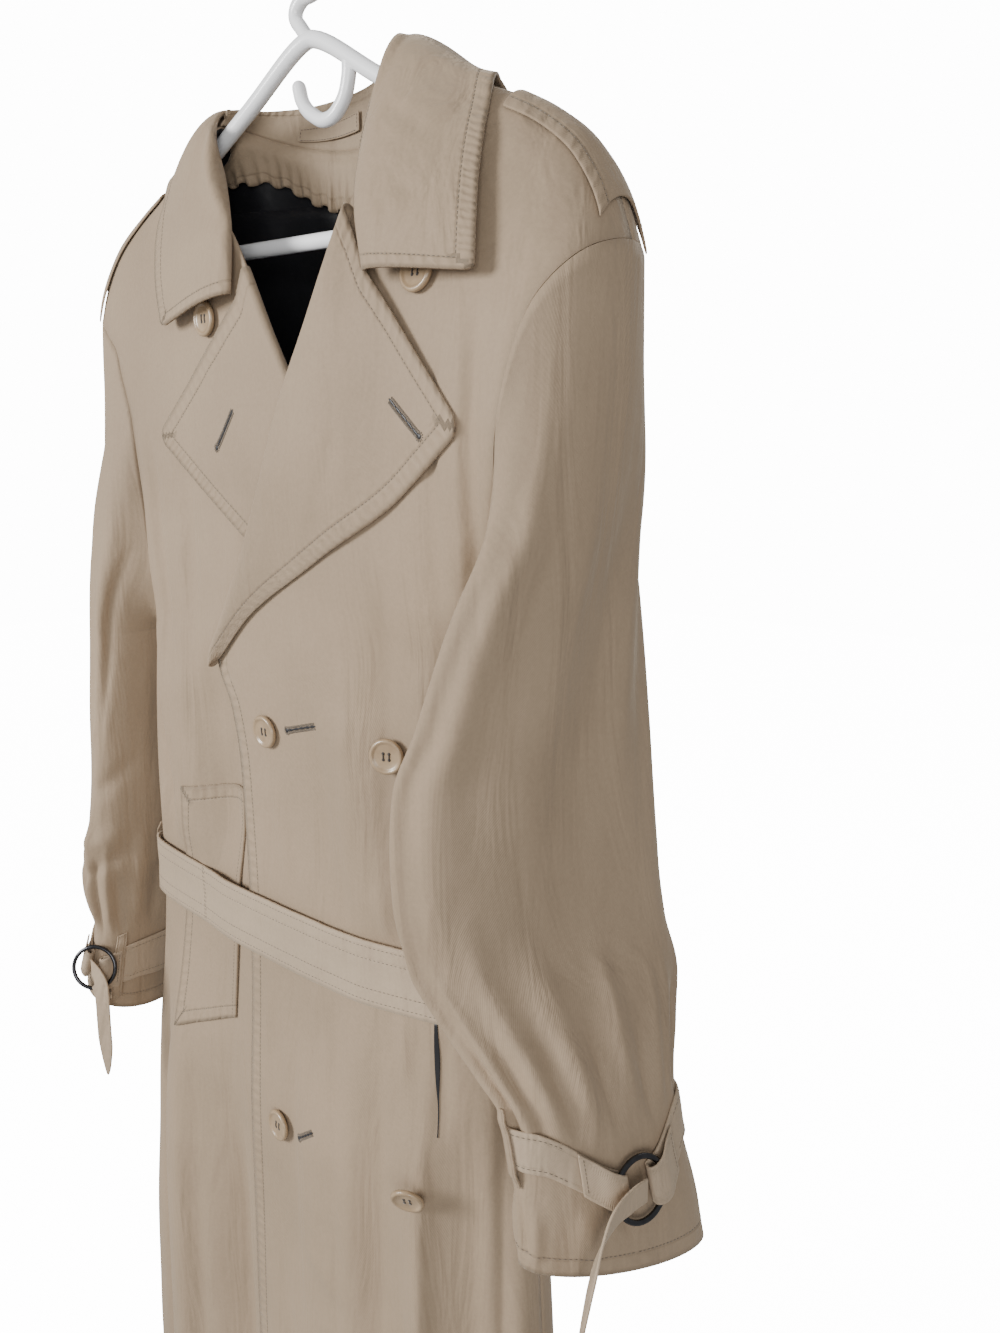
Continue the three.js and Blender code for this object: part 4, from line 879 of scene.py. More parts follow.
def lapel_place(side):
    radius = FOLD_RADIUS[side]

    def place(s, v):
        s, v = round_corner(s, v, lapel_spot(side, v)[2] / (1 - FOLD_SHARE), LAPEL_REACH[side], CORNER)
        roll, out, span = lapel_spot(side, v)
        if s <= FOLD_SHARE:
            angle = pi * s / FOLD_SHARE
            back = GAP + (radius + CLOTH) * sin(angle)
            forwards = (radius + CLOTH) * cos(angle) - radius
            return vec(roll.x - out.x * back, roll.y + forwards, roll.z - out.z * back)
        f = (s - FOLD_SHARE) / (1 - FOLD_SHARE)
        at, shift_x, shift_z = NOTCH[side]
        drawn = min(f / at, (1 - f) / (1 - at)) * (1 - smooth(v / 0.35))
        x = roll.x + out.x * span * f + shift_x * drawn
        z = roll.z + out.z * span * f + shift_z * drawn
        point = front_point(side, x, z)
        point.y -= mix(2 * radius + CLOTH, CLOTH + 3 * REST, smooth(f)) + 1.1 * sin(pi * f) * sin(pi * v)
        return point

    return place


def lapel_band(side):
    def band(s, v):
        f = max(0.0, (s - FOLD_SHARE) / (1 - FOLD_SHARE))
        span = lapel_spot(side, v)[2]
        edge, top = (1 - f) * span * 0.93, v * LAPEL_REACH[side]
        return (edge, v * 300) if edge < top else (top, f * span)

    return band


LAPEL_CREASES = {
    "left": [([(40, -250), (60, -330), (30, -390)], 9, 1.2),
             ([(110, -262), (120, -290), (140, -330)], 6, 0.9),
             ([(0, -340), (-20, -400)], 8, -1.0), ([(80, -300), (60, -350)], 7, -1.0)],
    "right": [([(-60, -240), (-70, -300), (-50, -360)], 7, 1.0), ([(-20, -290), (-30, -370)], 7, -0.9)]}
for side in ("left", "right"):
    def relief(a, b, points, side=side):
        x = np.array([p.x for p in points])
        z = np.array([p.z for p in points])
        flat = np.clip((a - 0.3) * 6, 0, 1) * np.clip((1 - a) * 8, 0.1, 1)
        return flat * (crease_lift(LAPEL_CREASES[side], x, z) + waviness(points, 5, 40.0, 0.5))
    cloth(f"lapel_{side}", 60, 72, lapel_place(side), (190, 300), (0, 600, -330), relief,
          band=lapel_band(side))

# %% [markdown]
# ## Collar
# The collar is a leaf that turns over a stand. The leaf runs from the left point round the
# neck to the right point, and it bulges a little before it falls, as pressed cloth does.

# %% Collar leaf
collar_line = curves([
    [0, 103.5, -66, -219, 183, -66, -225], [1, 91, -58, -181, 178, -58, -198],
    [2, 82, -42, -146, 171, -46, -170],
    [3, 75, -22, -112, 163, -29, -141], [4, 72, 0, -82, 147, 4, -111], [5, 64, 24, -69, 132, 36, -123],
    [6, 42, 42, -73, 88, 58, -152], [7, 0, 52, -81, 0, 66, -166], [8, -42, 45, -86, -88, 60, -164],
    [9, -72, 27, -88, -130, 36, -152], [10, -86, 1, -91, -143, 3, -127],
    [11, -75, -16, -112, -138, -16, -150],
    [12, -55, -26, -145, -133, -27, -172], [13, -32, -43, -180, -126, -35, -203],
    [14, -29, -49, -219, -117, -39, -234]])
STATIONS, LEAF_BULGE = 14, 7


def crease(station):
    return vec(*(column(station) for column in collar_line[:3]))


def shoulder_top(x, y):
    level = ridge(x) - 25
    full = front_depth(level) - turn_of(level) * x if y < 0 else back_depth(level)
    return ridge(x) - RIDGE_DROP * (2 / pi) * asin(min(1, (y / full) ** 2))


def clear_of_body(point, stand):
    inside = abs(point.x) < NECK_HALF * 0.6
    if inside and (point.y > 0 or point.z > -125):
        return point
    if abs(point.y) < 24 and not inside:
        point.z = max(point.z, shoulder_top(point.x, point.y) + stand * 2)
        return point
    if point.z > ridge(point.x):
        return point
    if point.y > 0:
        point.y = max(point.y, back_point(point.x, point.z).y + stand)
        return point
    side = "left" if point.x > 0 else "right"
    if side == "left":
        lapel = 8.6 * (1 - smooth((point.x - 100) / 30)) * smooth((-165 - point.z) / 20)
    else:
        lapel = 6.6 * (1 - smooth((-point.x - 74) / 26)) * smooth((-170 - point.z) / 20)
    point.y = min(point.y, front_point(side, point.x, point.z).y - stand - lapel)
    return point


LEAF_LENGTH, LEAF_WIDTH, LEAF_CORNER = 760.0, 85, 7


def collar_place(t, u):
    # Both points of the collar are slightly rounded.
    if t < 0.5:
        u, t = round_corner(u, t, LEAF_WIDTH, LEAF_LENGTH, LEAF_CORNER)
    else:
        u, t = round_corner(u, 1 - t, LEAF_WIDTH, LEAF_LENGTH, LEAF_CORNER)
        t = 1 - t
    station = t * STATIONS
    start = crease(station)
    edge = vec(*(column(station) for column in collar_line[3:]))
    along = crease(min(STATIONS, station + 0.2)) - crease(max(0, station - 0.2))
    out = (edge - start).cross(along).normalized()
    point = start.lerp(edge, u) + out * LEAF_BULGE * sin(pi * u ** 0.6)
    return point if u == 0 else clear_of_body(point, DOUBLE + 3.8 * REST)


def collar_band(t, u):
    station = t * STATIONS
    edge = vec(*(column(station) for column in collar_line[3:]))
    width = (edge - crease(station)).length
    outer = (1 - u) * width
    end = min(t, 1 - t) * LEAF_LENGTH
    return (outer, t * LEAF_LENGTH) if outer < end else (end, u * width)


# Creases of the leaf: share of its length and mm from its crease at both ends, half width, rise.
LEAF_CREASES = [(0.03, 10, 0.09, 50, 8, 1.2), (0.2, 12, 0.16, 60, 9, -1.3), (0.82, 14, 0.86, 60, 8, 1.3),
                (0.93, 12, 0.95, 50, 8, -1.1), (0.44, 14, 0.46, 60, 10, 1.2), (0.56, 14, 0.54, 56, 10, -1.2)]


def collar_relief(a, b, points):
    free = np.clip((1 - b) * 6, 0.15, 1) * np.clip(b * 8, 0, 1)
    paths = [([(t0 * LEAF_LENGTH, u0), (t1 * LEAF_LENGTH, u1)], reach, rise)
             for t0, u0, t1, u1, reach, rise in LEAF_CREASES]
    return free * (crease_lift(paths, a * LEAF_LENGTH, b * 90) + waviness(points, 71, 36.0, 0.7))


cloth("collar", 150, 30, collar_place, (LEAF_LENGTH, 90), (0, 0, -260), collar_relief, band=collar_band,
      thick=DOUBLE, even=2)

# %% [markdown]
# ## Stand, hang loop, neck facing and lining
# Inside the neck the stand rises from the neck seam to the crease of the leaf. A blank strip is
# sewn to it, and below it a gathered facing covers the top of the black lining.

# %% Stand and strip
STAND_END = {"left": (-156, 5), "right": (-102, 2.9)}


def neck_seam(p):
    side = "left" if p > 0 else "right"
    if abs(p) <= 0.5:
        x = NECK_HALF * sin(p * pi)
        return back_point(x, neck_top(x)) + vec(0, 0, 3 * GAP)
    z = mix(NECK_HEIGHT, STAND_END[side][0], (abs(p) - 0.5) * 2)
    return front_point(side, INNER[side](z), z) + vec((-1 if side == "left" else 1) * 3 * GAP, 0, GAP)


def stand_point(p, u, depth=0.0):
    end = STAND_END["left" if p > 0 else "right"][1]
    steep = max(0, abs(p) - 0.5) * 2
    station = 7 - (1 if p > 0 else -1) * (min(0.5, abs(p)) * 6 + steep * (end - 3))
    top = crease(station)
    inwards = vec(-top.x, 8 - top.y, 0).normalized()
    top = top + inwards * (DOUBLE + 6 * GAP) - vec(0, 0, REST)
    return neck_seam(p).lerp(top, u) + inwards * (depth - sin(pi * u))


cloth("collar_stand", 110, 10, lambda a, b: stand_point(1 - 2 * a, b), (560, 34), (0, 300, -60),
      lambda a, b, points: waviness(points, 83, 26.0, 0.4) * np.clip(np.minimum(b, 1 - b) * 6, 0, 1),
      band=lambda a, b: ((1 - b) * 34 + 5, a * 560), finish=neck_shade_finish)
# The stand wraps round the neck, so its outer face is told apart by the leaf behind it.
stand_faces = made_pieces["collar_stand"].data
middle = stand_faces.polygons[len(stand_faces.polygons) // 2]
if middle.normal.dot(Vector(middle.center) - Vector((0, 0, middle.center.z))) < 0:
    made_pieces["collar_stand"].modifiers["thickness"].offset = 1

STRIP = {"from": -0.01, "to": -0.225, "width": 0.34, "height": 0.5, "fall": 0.22, "thick": 1.1}


def strip_place(a, b):
    depth = CLOTH + 2.6 * REST + STRIP["thick"]
    return stand_point(mix(STRIP["from"], STRIP["to"], a),
                       STRIP["height"] - STRIP["fall"] * a + (b - 0.5) * STRIP["width"], depth)


cloth("hang_loop", 30, 8, strip_place, (70, 12), (0, 200, -100), thick=STRIP["thick"],
      finish=neck_shade_finish, soften=1)

# %% Facing and lining
facing_edge, = curves([
    [-125, -146], [-100, -132], [-70, -135], [-40, -150], [-15, -157], [40, -152], [125, -140]])
LINING_DEPTH = CLOTH + REST
FACING_DEPTH = LINING_DEPTH + 1 + REST
FACING_HALF = 112


def back_inside(x, z, depth):
    return back_point(x, z) + normal_of(back_point, x, z, 2) * depth


def facing_place(a, b):
    x = mix(-FACING_HALF, FACING_HALF, a)
    top = neck_top(x) + mix(1.5, -9, smooth((abs(x) - 82) / 18))
    depth = mix(2.4, FACING_DEPTH + 2.6, smooth(b / 0.3))
    ruffle = (1.5 * sin(a * 190) + 0.9 * sin(a * 87 + 1.3)) * b * b
    z = mix(top, facing_edge(x) + 1.6 * sin(a * 95) * b, b)
    return back_inside(x, z, depth + ruffle)


cloth("back_facing", 190, 12, facing_place, (240, 46), (0, 300, -140), thick=1.2, finish=neck_shade_finish,
      band=lambda a, b: (abs(1 - b) * 40 + 3, a * 240))


def lining_place(a, b):
    z = mix(-1200, -150, b)
    f = 0.86 * (2 * a - 1)
    x = mix(side_right(z), side_left(z), (f + 1) / 2)
    return back_inside(x, min(z, neck_top(f * SHOULDER_HALF) - 20), LINING_DEPTH)


cloth("lining_back", 60, 110, lining_place, (380, 1050), (0, 600, -600),
      lambda a, b, points: crease_lift([([(60, 100), (70, 900)], 9, 1.0), ([(150, 60), (140, 980)], 9, 1.2),
                                        ([(240, 100), (250, 940)], 9, 1.0),
                                        ([(330, 80), (320, 900)], 9, 1.1)],
                                       a * 380, b * 1050), thick=1.0, finish=satin_and_slit_shade)

# %% [markdown]
# ## Epaulettes and the pocket
# An epaulette is a strap of doubled cloth on the shoulder, a little wider at the sleeve. On the right front
# a welt covers the pocket's mouth. The left pocket shows only as a dark slit beside a fold: a thin dark sheet
# of painted shade.

# %% Epaulettes
EPAULETTE = {"left": (166, 231, 0, 18, 24), "right": (150, 230, 11, 18, 20)}


def epaulette_place(side):
    sign = 1 if side == "left" else -1
    start, end, middle, half, wide = EPAULETTE[side]

    def place(a, b):
        across = mix(start, end, 1 - (1 - a) ** 1.5)
        y = middle + mix(half, wide, a * a) * (2 * b - 1)
        seat = vec(sign * across, y, shoulder_top(sign * across, y))
        step_x = vec(sign * (across + 1), y, shoulder_top(sign * (across + 1), y)) - seat
        step_y = vec(sign * across, y + 1, shoulder_top(sign * across, y + 1)) - seat
        out = step_x.cross(step_y).normalized()
        return seat + (out if out.z > 0 else -out) * (CLOTH + 3 * REST)

    return place


for side in ("left", "right"):
    wide = 2 * EPAULETTE[side][4]
    behind = (EPAULETTE[side][0] * (1 if side == "left" else -1), 0, -300)
    cloth(f"epaulette_{side}", 40, 24, epaulette_place(side), (95, wide), behind,
          lambda a, b, points: waviness(points, 91, 20.0, 0.35),
          band=lambda a, b, w=wide: (min(b, 1 - b) * w * 0.9 + 4, a * 95), soften=1)

# %% Pocket welt and slit
WELT = ((-63, -563, -753), (-142, -577, -787), 20)


def welt_place(g, v):
    (x0, top0, bottom0), (x1, top1, bottom1), slant = WELT
    x = mix(x0, x1, g) - v * slant
    z = mix(mix(top0, top1, g), mix(bottom0, bottom1, g), v)
    # It lies on the creased front, so its place is found on that piece.
    spot, normal, _, _ = trees["front_right"].ray_cast(vec(x, -200, z), vec(0, 1, 0))
    return spot + normal * (CLOTH + 1.4 * REST)


def welt_band(g, v):
    wide, high = 80.0, 205.0
    sides = (1 - g) * wide, v * high, (1 - v) * high
    near = min(sides)
    return (near, v * high) if near == sides[0] else (near, g * wide)


cloth("pocket_welt", 30, 66, welt_place, (80, 205), (-100, 600, -670),
      lambda a, b, points: crease_lift([([(50, 20), (46, 180)], 6, 0.8), ([(20, 60), (24, 150)], 6, -0.8),
                                        ([(64, 30), (60, 120)], 5, -0.6)], a * 80, b * 205)
      + waviness(points, 97, 30.0, 0.4), band=welt_band)

# The slit is a narrow dark sheet of painted shade between the lips of the left pocket, where its mouth lies
# in shadow.
slit_line, = curves([[0, 125], [0.5, 127], [1, 129.5]])


def slit_place(a, b):
    z = mix(-684, -764, b)
    x = slit_line(b) + (a - 0.5) * (0.6 + 2.6 * sin(pi * min(1, b * 1.1 + 0.2)) ** 1.2)
    spot = trees["front_left"].ray_cast(vec(x, -200, z), vec(0, 1, 0))[0]
    return spot - vec(0, 0.7, 0)


cloth("pocket_slit_left", 6, 30, slit_place, (6, 80), (130, 600, -720), thick=0.6, finish=satin_and_slit_shade)

# %% [markdown]
# ## Belt and its loops
# The belt is a long closed strip round the waist. It is stitched in four rows, so its middle
# is slightly hollow. A loop at each side seam holds it.

# %% Belt
BELT_HEIGHT, BELT_WIDTH, BELT_STAND = -659, 46, 5.6


def belt_place(a, b):
    z = BELT_HEIGHT + (b - 0.5) * BELT_WIDTH

    def at(angle):
        x = mix(side_right(z), side_left(z), (cos(angle) + 1) / 2)
        face = -1 if angle % (2 * pi) <= pi else 1
        lift = overlap_lift(x, z) * smooth((x + 125) / 60) if face < 0 else 0
        return vec(x, panel_depth(face, x, z) - lift, z)

    angle = 2 * pi * a
    along = at(angle + 0.03) - at(angle - 0.03)
    normal = vec(-along.y, along.x, 0).normalized()
    point = at(angle)
    if normal.dot(vec(point.x - 0.5 * (side_left(z) + side_right(z)), point.y - 4, 0)) < 0:
        normal = -normal
    hollow = 0.5 * np.exp(-((b - 0.5) / 0.14) ** 2)
    return point + normal * (BELT_STAND - float(hollow))


BELT_LENGTH = 860.0
cloth("belt", 300, 16, belt_place, (BELT_LENGTH, BELT_WIDTH), (-20, 4, -659),
      lambda a, b, points: waviness(points, 101, 24.0, 0.5), closed=True, thick=2.2, finish=belt_finish,
      band=lambda a, b: (abs(min(b, 1 - b) * BELT_WIDTH - 4.2) + 11 if min(b, 1 - b) < 0.18
                         else abs(min(b, 1 - b) * BELT_WIDTH - 12.5) + 11, a * BELT_LENGTH))

# %% Belt loops
for side in ("left", "right"):
    sign = 1 if side == "left" else -1

    def loop_place(a, b, side=side, sign=sign):
        k = 2 * b - 1
        z = BELT_HEIGHT + 33 * k
        over = 1 - smooth((abs(k) - 0.7) / 0.3)
        out = mix(CLOTH + REST, BELT_STAND + REST + CLOTH, over)
        return vec(SIDES[side](z) + sign * out, (2 * a - 1) * 6, z)

    cloth(f"belt_loop_{side}", 6, 40, loop_place, (12, 66), (0, 0, BELT_HEIGHT), soften=1,
          band=lambda a, b: (min(a, 1 - a) * 12 + 8.6, b * 66))

# %% [markdown]
# ## Cuff straps and rings
# Each cuff has a strap that ends on a metal ring. The ends of the strap are turned round the
# ring's wire and sewn down, and the free end hangs from it. Places on a strap are angles
# round the sleeve, so it follows the cloth that it gathers.

# %% Straps and loops
CUFF = {"left": (356, -693, 24, 84), "right": (98, -738, 10, 128)}
STRAP_WIDTH, STRAP_THICK, STRAP_CLEAR, STRAP_GAP = 26, 2, 1, 9
STRAP_OUT = STRAP_CLEAR + STRAP_THICK
RING_RADIUS, RING_WIRE, RING_STAND = 17.6, 1.7, 1.2


def cuff_point(side, turn, rise, out):
    ring, height, droop, _ = CUFF[side]
    off = abs(((turn - ring + 540) % 360) - 180)
    return sleeve_point(side, turn % 360, height - droop * (1 - smooth(off / 60)) + rise, out)


# An end of the strap: degrees from the ring's middle, then how far it stands off the sleeve.
turned_end = curves([[0, 9, 3.4], [0.12, 7, 4.6], [0.24, 7.4, 7.6], [0.4, 12, 9.6], [0.55, 17.5, 9.2],
                     [0.75, 25, 6.6], [1, 33, 5.3]])
for side in ("left", "right"):
    ring, _, _, seam = CUFF[side]
    middle = cuff_point(side, ring + 180, 0, 0).lerp(cuff_point(side, ring, 0, 0), 0.5)

    def strap_place(a, b, side=side, ring=ring):
        turn = ring + mix(STRAP_GAP, 360 - STRAP_GAP, a)
        pinch = 1 - 0.24 * (1 - smooth(min(a, 1 - a) * 9))
        out = STRAP_OUT + 0.5 * sin(a * 60) * (b - 0.4)
        return cuff_point(side, turn, (b - 0.5) * STRAP_WIDTH * pinch, out)

    def strap_band(a, b):
        return abs(min(b, 1 - b) * STRAP_WIDTH - 3.6) + 11, a * 380

    cloth(f"cuff_strap_{side}", 120, 12, strap_place, (380, STRAP_WIDTH), middle, thick=STRAP_THICK,
          band=strap_band, finish=belt_finish, soften=1)
    for name, way in (("fore", 1), ("aft", -1)):
        def end_place(a, b, side=side, ring=ring, way=way):
            off, out = (column(a) for column in turned_end)
            pinch = 0.76 + 0.2 * smooth(a * 1.2)
            return cuff_point(side, ring + way * off, (b - 0.5) * STRAP_WIDTH * pinch, out)

        cloth(f"strap_end_{name}_{side}", 26, 10, end_place, (40, STRAP_WIDTH), middle, thick=1.5,
              band=strap_band, finish=belt_finish, soften=1, nodes=(f"cuff_strap_{side}",))

    def cuff_loop_place(a, b, side=side, seam=seam):
        rise = (b - 0.5) * 48
        over = 1 - smooth((abs(rise) - 15) / 8)
        out = mix(STRAP_CLEAR + CLOTH, STRAP_OUT + REST + CLOTH, over)
        return cuff_point(side, seam + (a - 0.5) * 12, rise, out)

    cloth(f"cuff_loop_{side}", 6, 36, cuff_loop_place, (12, 48), middle, soften=1,
          band=lambda a, b: (min(a, 1 - a) * 12 + 8.6, b * 48))

# %% Rings
ring_frames = {}
for side in ("left", "right"):
    sign = 1 if side == "left" else -1
    ring = CUFF[side][0]
    along = cuff_point(side, ring + 12, 0, STRAP_OUT) - cuff_point(side, ring - 12, 0, STRAP_OUT)
    upwards = cuff_point(side, ring, RING_RADIUS, STRAP_OUT) - cuff_point(side, ring, -RING_RADIUS, STRAP_OUT)
    out = along.cross(upwards).normalized() * -sign
    along.normalize()
    centre = cuff_point(side, ring, 0, STRAP_OUT) + out * (RING_WIRE + RING_STAND)
    ring_frames[side] = centre, along, out
    bm = bmesh.new()
    upright = Matrix.Translation((RING_RADIUS, 0, 0)) @ Matrix.Rotation(pi / 2, 4, "X")
    bmesh.ops.create_circle(bm, segments=14, radius=RING_WIRE, matrix=upright)
    bmesh.ops.spin(bm, geom=bm.verts[:] + bm.edges[:], cent=(0, 0, 0), axis=(0, 0, 1), angle=2 * pi, steps=64,
                   use_merge=True)
    bmesh.ops.remove_doubles(bm, verts=bm.verts, dist=0.001)
    bmesh.ops.recalc_face_normals(bm, faces=bm.faces)
    basis = Matrix((along, out.cross(along), out)).transposed().to_4x4()
    bmesh.ops.transform(bm, matrix=Matrix.Scale(MM, 4) @ Matrix.Translation(centre) @ basis, verts=bm.verts)
    made = finish_object(f"cuff_ring_{side}", bm, [gunmetal], (f"cuff_ring_{side}",))
    print(made.name, len(made.data.polygons), "faces")

# %% Free ends
# Forwards, outwards and upwards from the ring, then the way the width lies.
tail_rows = {
    "left": curves([[0, -2, 4, 0, 0, 0, 1], [1, 12, 7.5, -2, 0, 0, 1], [2, 26, 10.5, -8, 0.4, 0.3, 0.8],
                    [3, 36, 13, -20, 0.5, 0.6, 0.4], [4, 45, 16, -38, 0.55, 0.83, 0],
                    [5, 52, 18, -60, 0.55, 0.83, 0],
                    [6, 58, 19, -86, 0.55, 0.83, 0]]),
    "right": curves([[0, -2, 4, 0, 0, 0, 1], [1, 5, 6, -4, 0.4, 0, 0.9], [2, 8, 7, -14, 0.9, 0, 0.4],
                     [3, 9, 7.5, -30, 1, 0, 0], [4, 9, 8, -52, 1, 0, 0], [5, 9, 8, -74, 1, 0, 0],
                     [6, 9, 8, -92, 1, 0, 0]])}
TAIL_WIDTH, TAIL_EDGES = 15, 24  # the second is the width that its edge seams are drawn for
for side in ("left", "right"):
    def tail_place(a, b, side=side):
        centre, along, out = ring_frames[side]
        forwards, away, up, wide_a, wide_o, wide_z = (column(a * 6) for column in tail_rows[side])
        wide = (along * wide_a + out * wide_o + vec(0, 0, wide_z)).normalized()
        point_end = clamp((1 - a) / 0.26) ** 0.7 if a > 0.74 else 1.0
        half = TAIL_WIDTH * (b - 0.5) * (0.06 + 0.94 * point_end)
        return centre + along * forwards + out * away + vec(0, 0, up) + wide * half

    centre = ring_frames[side][0]
    cloth(f"cuff_tail_{side}", 64, 10, tail_place, (120, TAIL_WIDTH), (centre.x * 0.8, 0, -740), thick=1.8,
          band=lambda a, b: (abs(min(b, 1 - b) * TAIL_EDGES - 3.6) + 11, a * 120),
          finish=belt_finish, soften=1)

# %% [markdown]
# ## Buttons
# A horn button is turned: a dished face inside a rounded rim, with four holes. Its profile is
# spun round its axis. The thread is dark, so the holes read as dots joined by two bars.

# %% Buttons
BUTTON_RADIUS, BUTTON_THICK = 11.75, 4
BUTTONS = [("button_1_left", "left", 135, -221, 0), ("button_1_right", "right", -70, -231, 0),
           ("button_2_left", "left", 97, -505, 0), ("button_2_right", "left", -18, -508, 0),
           ("button_3_left", "left", 117, -803, 34), ("button_3_right", "left", -19, -812, 0)]
PROFILE = [(0, 0), (9.6, 0), (11.2, 0.7), (11.75, 1.8), (11.5, 3.1), (10.8, 3.8), (10.0, 4.0), (9.3, 3.8),
           (8.7, 3.2), (7.6, 2.8), (4, 2.65), (0, 2.6)]
threads = bmesh.new()
for name, side, x, z, tilt in BUTTONS:
    normal = normal_of(lambda p, q: front_point(side, p, q), x, z, 8)
    if normal.y > 0:
        normal.negate()
    lean = radians(tilt)
    seat = front_point(side, x, z) + normal * (2 * REST + sin(lean) * BUTTON_RADIUS)
    turned = Matrix.Rotation(lean, 3, "X") @ normal
    facing = turned.to_track_quat("Z", "X").to_matrix().to_4x4()
    place = Matrix.Scale(MM, 4) @ Matrix.Translation(seat) @ facing
    bm = bmesh.new()
    points = [bm.verts.new((r, 0, h)) for r, h in PROFILE]
    edges = [bm.edges.new(pair) for pair in zip(points, points[1:])]
    bmesh.ops.spin(bm, geom=points + edges, cent=(0, 0, 0), axis=(0, 0, 1), angle=2 * pi, steps=48,
                   use_merge=True)
    bmesh.ops.remove_doubles(bm, verts=bm.verts, dist=0.001)
    bmesh.ops.recalc_face_normals(bm, faces=bm.faces)
    bmesh.ops.transform(bm, matrix=place, verts=bm.verts)
    finish_object(name, bm, [horn], (name,))
    for hole_x, hole_y in ((-2, -2), (2, -2), (-2, 2), (2, 2)):
        bmesh.ops.create_cone(threads, cap_ends=True, segments=14, radius1=1.15, radius2=1.0, depth=0.3,
                              matrix=place @ Matrix.Translation((hole_x, hole_y, 2.72)))
    for bar in (-2, 2):
        bar_shape = Matrix.Translation((0, bar, 2.9)) @ Matrix.Diagonal((2.7, 0.5, 0.45, 1))
        bmesh.ops.create_icosphere(threads, subdivisions=2, radius=1, matrix=place @ bar_shape)
    # The shank of thread between the button and the cloth.
    bmesh.ops.create_cone(threads, cap_ends=True, segments=12, radius1=1.6, radius2=1.3, depth=2.4,
                          matrix=place @ Matrix.Translation((0, 0, -0.9)))
finish_object("button_threads", threads, [dark_thread])
print("buttons:", len(BUTTONS))

# %% [markdown]
# ## Stitches
# A row of topstitching is a line of short joined dashes that sink a little into the cloth. A
# line is given in a piece's own grid, and each stitch is laid on the finished surface, found
# by the nearest point of it, so it follows every crease.

# %% Stitch maker
STITCH = (2.5, 0.55, 0.3)


def sew(name, lines, finish=thread, pitch=3.1, size=STITCH):
    bm = bmesh.new()
    for piece, path in lines:
        carried = 0.0
        for start, end in zip(path, path[1:]):
            length = (end - start).length
            at = pitch - carried
            while at <= length:
                spot, normal, _, _ = trees[piece].find_nearest(start.lerp(end, at / length))
                way = (end - start).normalized()
                across = normal.cross(way).normalized()
                basis = Matrix((across.cross(normal), across, normal)).transposed().to_4x4()
                matrix = Matrix.Scale(MM, 4) @ Matrix.Translation(spot + normal * 0.05) @ basis
                matrix = matrix @ Matrix.Diagonal((*size, 1))
                bmesh.ops.create_icosphere(bm, subdivisions=1, radius=0.5, matrix=matrix)
                at += pitch
            carried = (carried + length) % pitch
    made = finish_object(name, bm, [finish])
    print(name, len(made.data.polygons) // 20, "stitches")
    return made


def along(place, spots):
    return [place(a, b) for a, b in spots]


def ramp(count):
    return [i / count for i in range(count + 1)]


print("stitch maker ready")

# %% Rows of stitches
left_place, right_place = front_place("left"), front_place("right")
sew("stitches_front_left", [("front_left", [front_point("left", INNER["left"](z) + EDGE_SEAM, z)
                                            for z in range(HEM + 4, -474, 8)])])
for side in ("left", "right"):
    place = lapel_place(side)
    start = EDGE_SEAM / LAPEL_REACH[side]

    def inset(v, side=side):
        return 1 - (1 - FOLD_SHARE) * EDGE_SEAM / (0.93 * lapel_spot(side, v)[2])

    edge = along(place, [(inset(v), v) for v in (mix(start, 0.955, t) for t in ramp(60))])
    top = along(place, [(mix(FOLD_SHARE + 0.06, inset(start), t), start) for t in ramp(30)])
    sew(f"stitches_lapel_{side}", [(f"lapel_{side}", edge), (f"lapel_{side}", top)])

end_share = EDGE_SEAM / LEAF_LENGTH


def leaf_inset(t):
    edge = vec(*(column(t * STATIONS) for column in collar_line[3:]))
    return 1 - EDGE_SEAM / (edge - crease(t * STATIONS)).length


outer = [(t, leaf_inset(t)) for t in (mix(end_share, 1 - end_share, t) for t in ramp(160))]
ends = [[(t, mix(0.06, leaf_inset(t), u)) for u in ramp(20)] for t in (end_share, 1 - end_share)]
sew("stitches_collar", [("collar", along(collar_place, path)) for path in [outer] + ends])
stand_top = [("collar_stand", [stand_point(1 - 2 * t, u) for t in ramp(120)]) for u in (0.94, 0.8)]
stand_seam = [("collar_stand", [stand_point(-0.16, u) for u in (0.05, 0.3, 0.6, 0.95)])]
sew("stitches_stand", stand_top + stand_seam, pitch=2.8)
strip_edge = [[(mix(0.04, 0.96, t), 0.1) for t in ramp(12)], [(mix(0.04, 0.96, t), 0.9) for t in ramp(12)],
              [(0.04, mix(0.1, 0.9, t)) for t in ramp(4)], [(0.96, mix(0.1, 0.9, t)) for t in ramp(4)]]
sew("stitches_hang_loop", [("hang_loop", along(strip_place, path)) for path in strip_edge],
    finish=dark_thread, pitch=2.3, size=(2.0, 0.5, 0.3))
g, v = 1 - EDGE_SEAM / 80, EDGE_SEAM / 205
frame_path = along(welt_place, [(t, v) for t in ramp(16)][:15] + [(g, mix(v, 1 - v, t)) for t in ramp(30)]
                   + [(1 - t, 1 - v) for t in ramp(16)][2:])
side_path = along(welt_place, [(0.06, mix(0.01, 0.99, t)) for t in ramp(30)])
mitres = [along(welt_place, [(mix(g, 0.985, t), mix(v, 0.012, t)) for t in ramp(3)]),
          along(welt_place, [(mix(g, 0.985, t), mix(1 - v, 0.988, t)) for t in ramp(3)])]
sew("stitches_pocket", [("pocket_welt", path) for path in [frame_path, side_path] + mitres])
belt_lines = [("belt", along(belt_place, [(t, b) for t in ramp(220)])) for b in (0.085, 0.27, 0.73, 0.915)]
belt_seam = [("belt", along(belt_place, [(0.3355 + s, b) for b in ramp(5)])) for s in (0.0, 0.002)]
sew("stitches_belt", belt_lines + belt_seam, pitch=3.4)
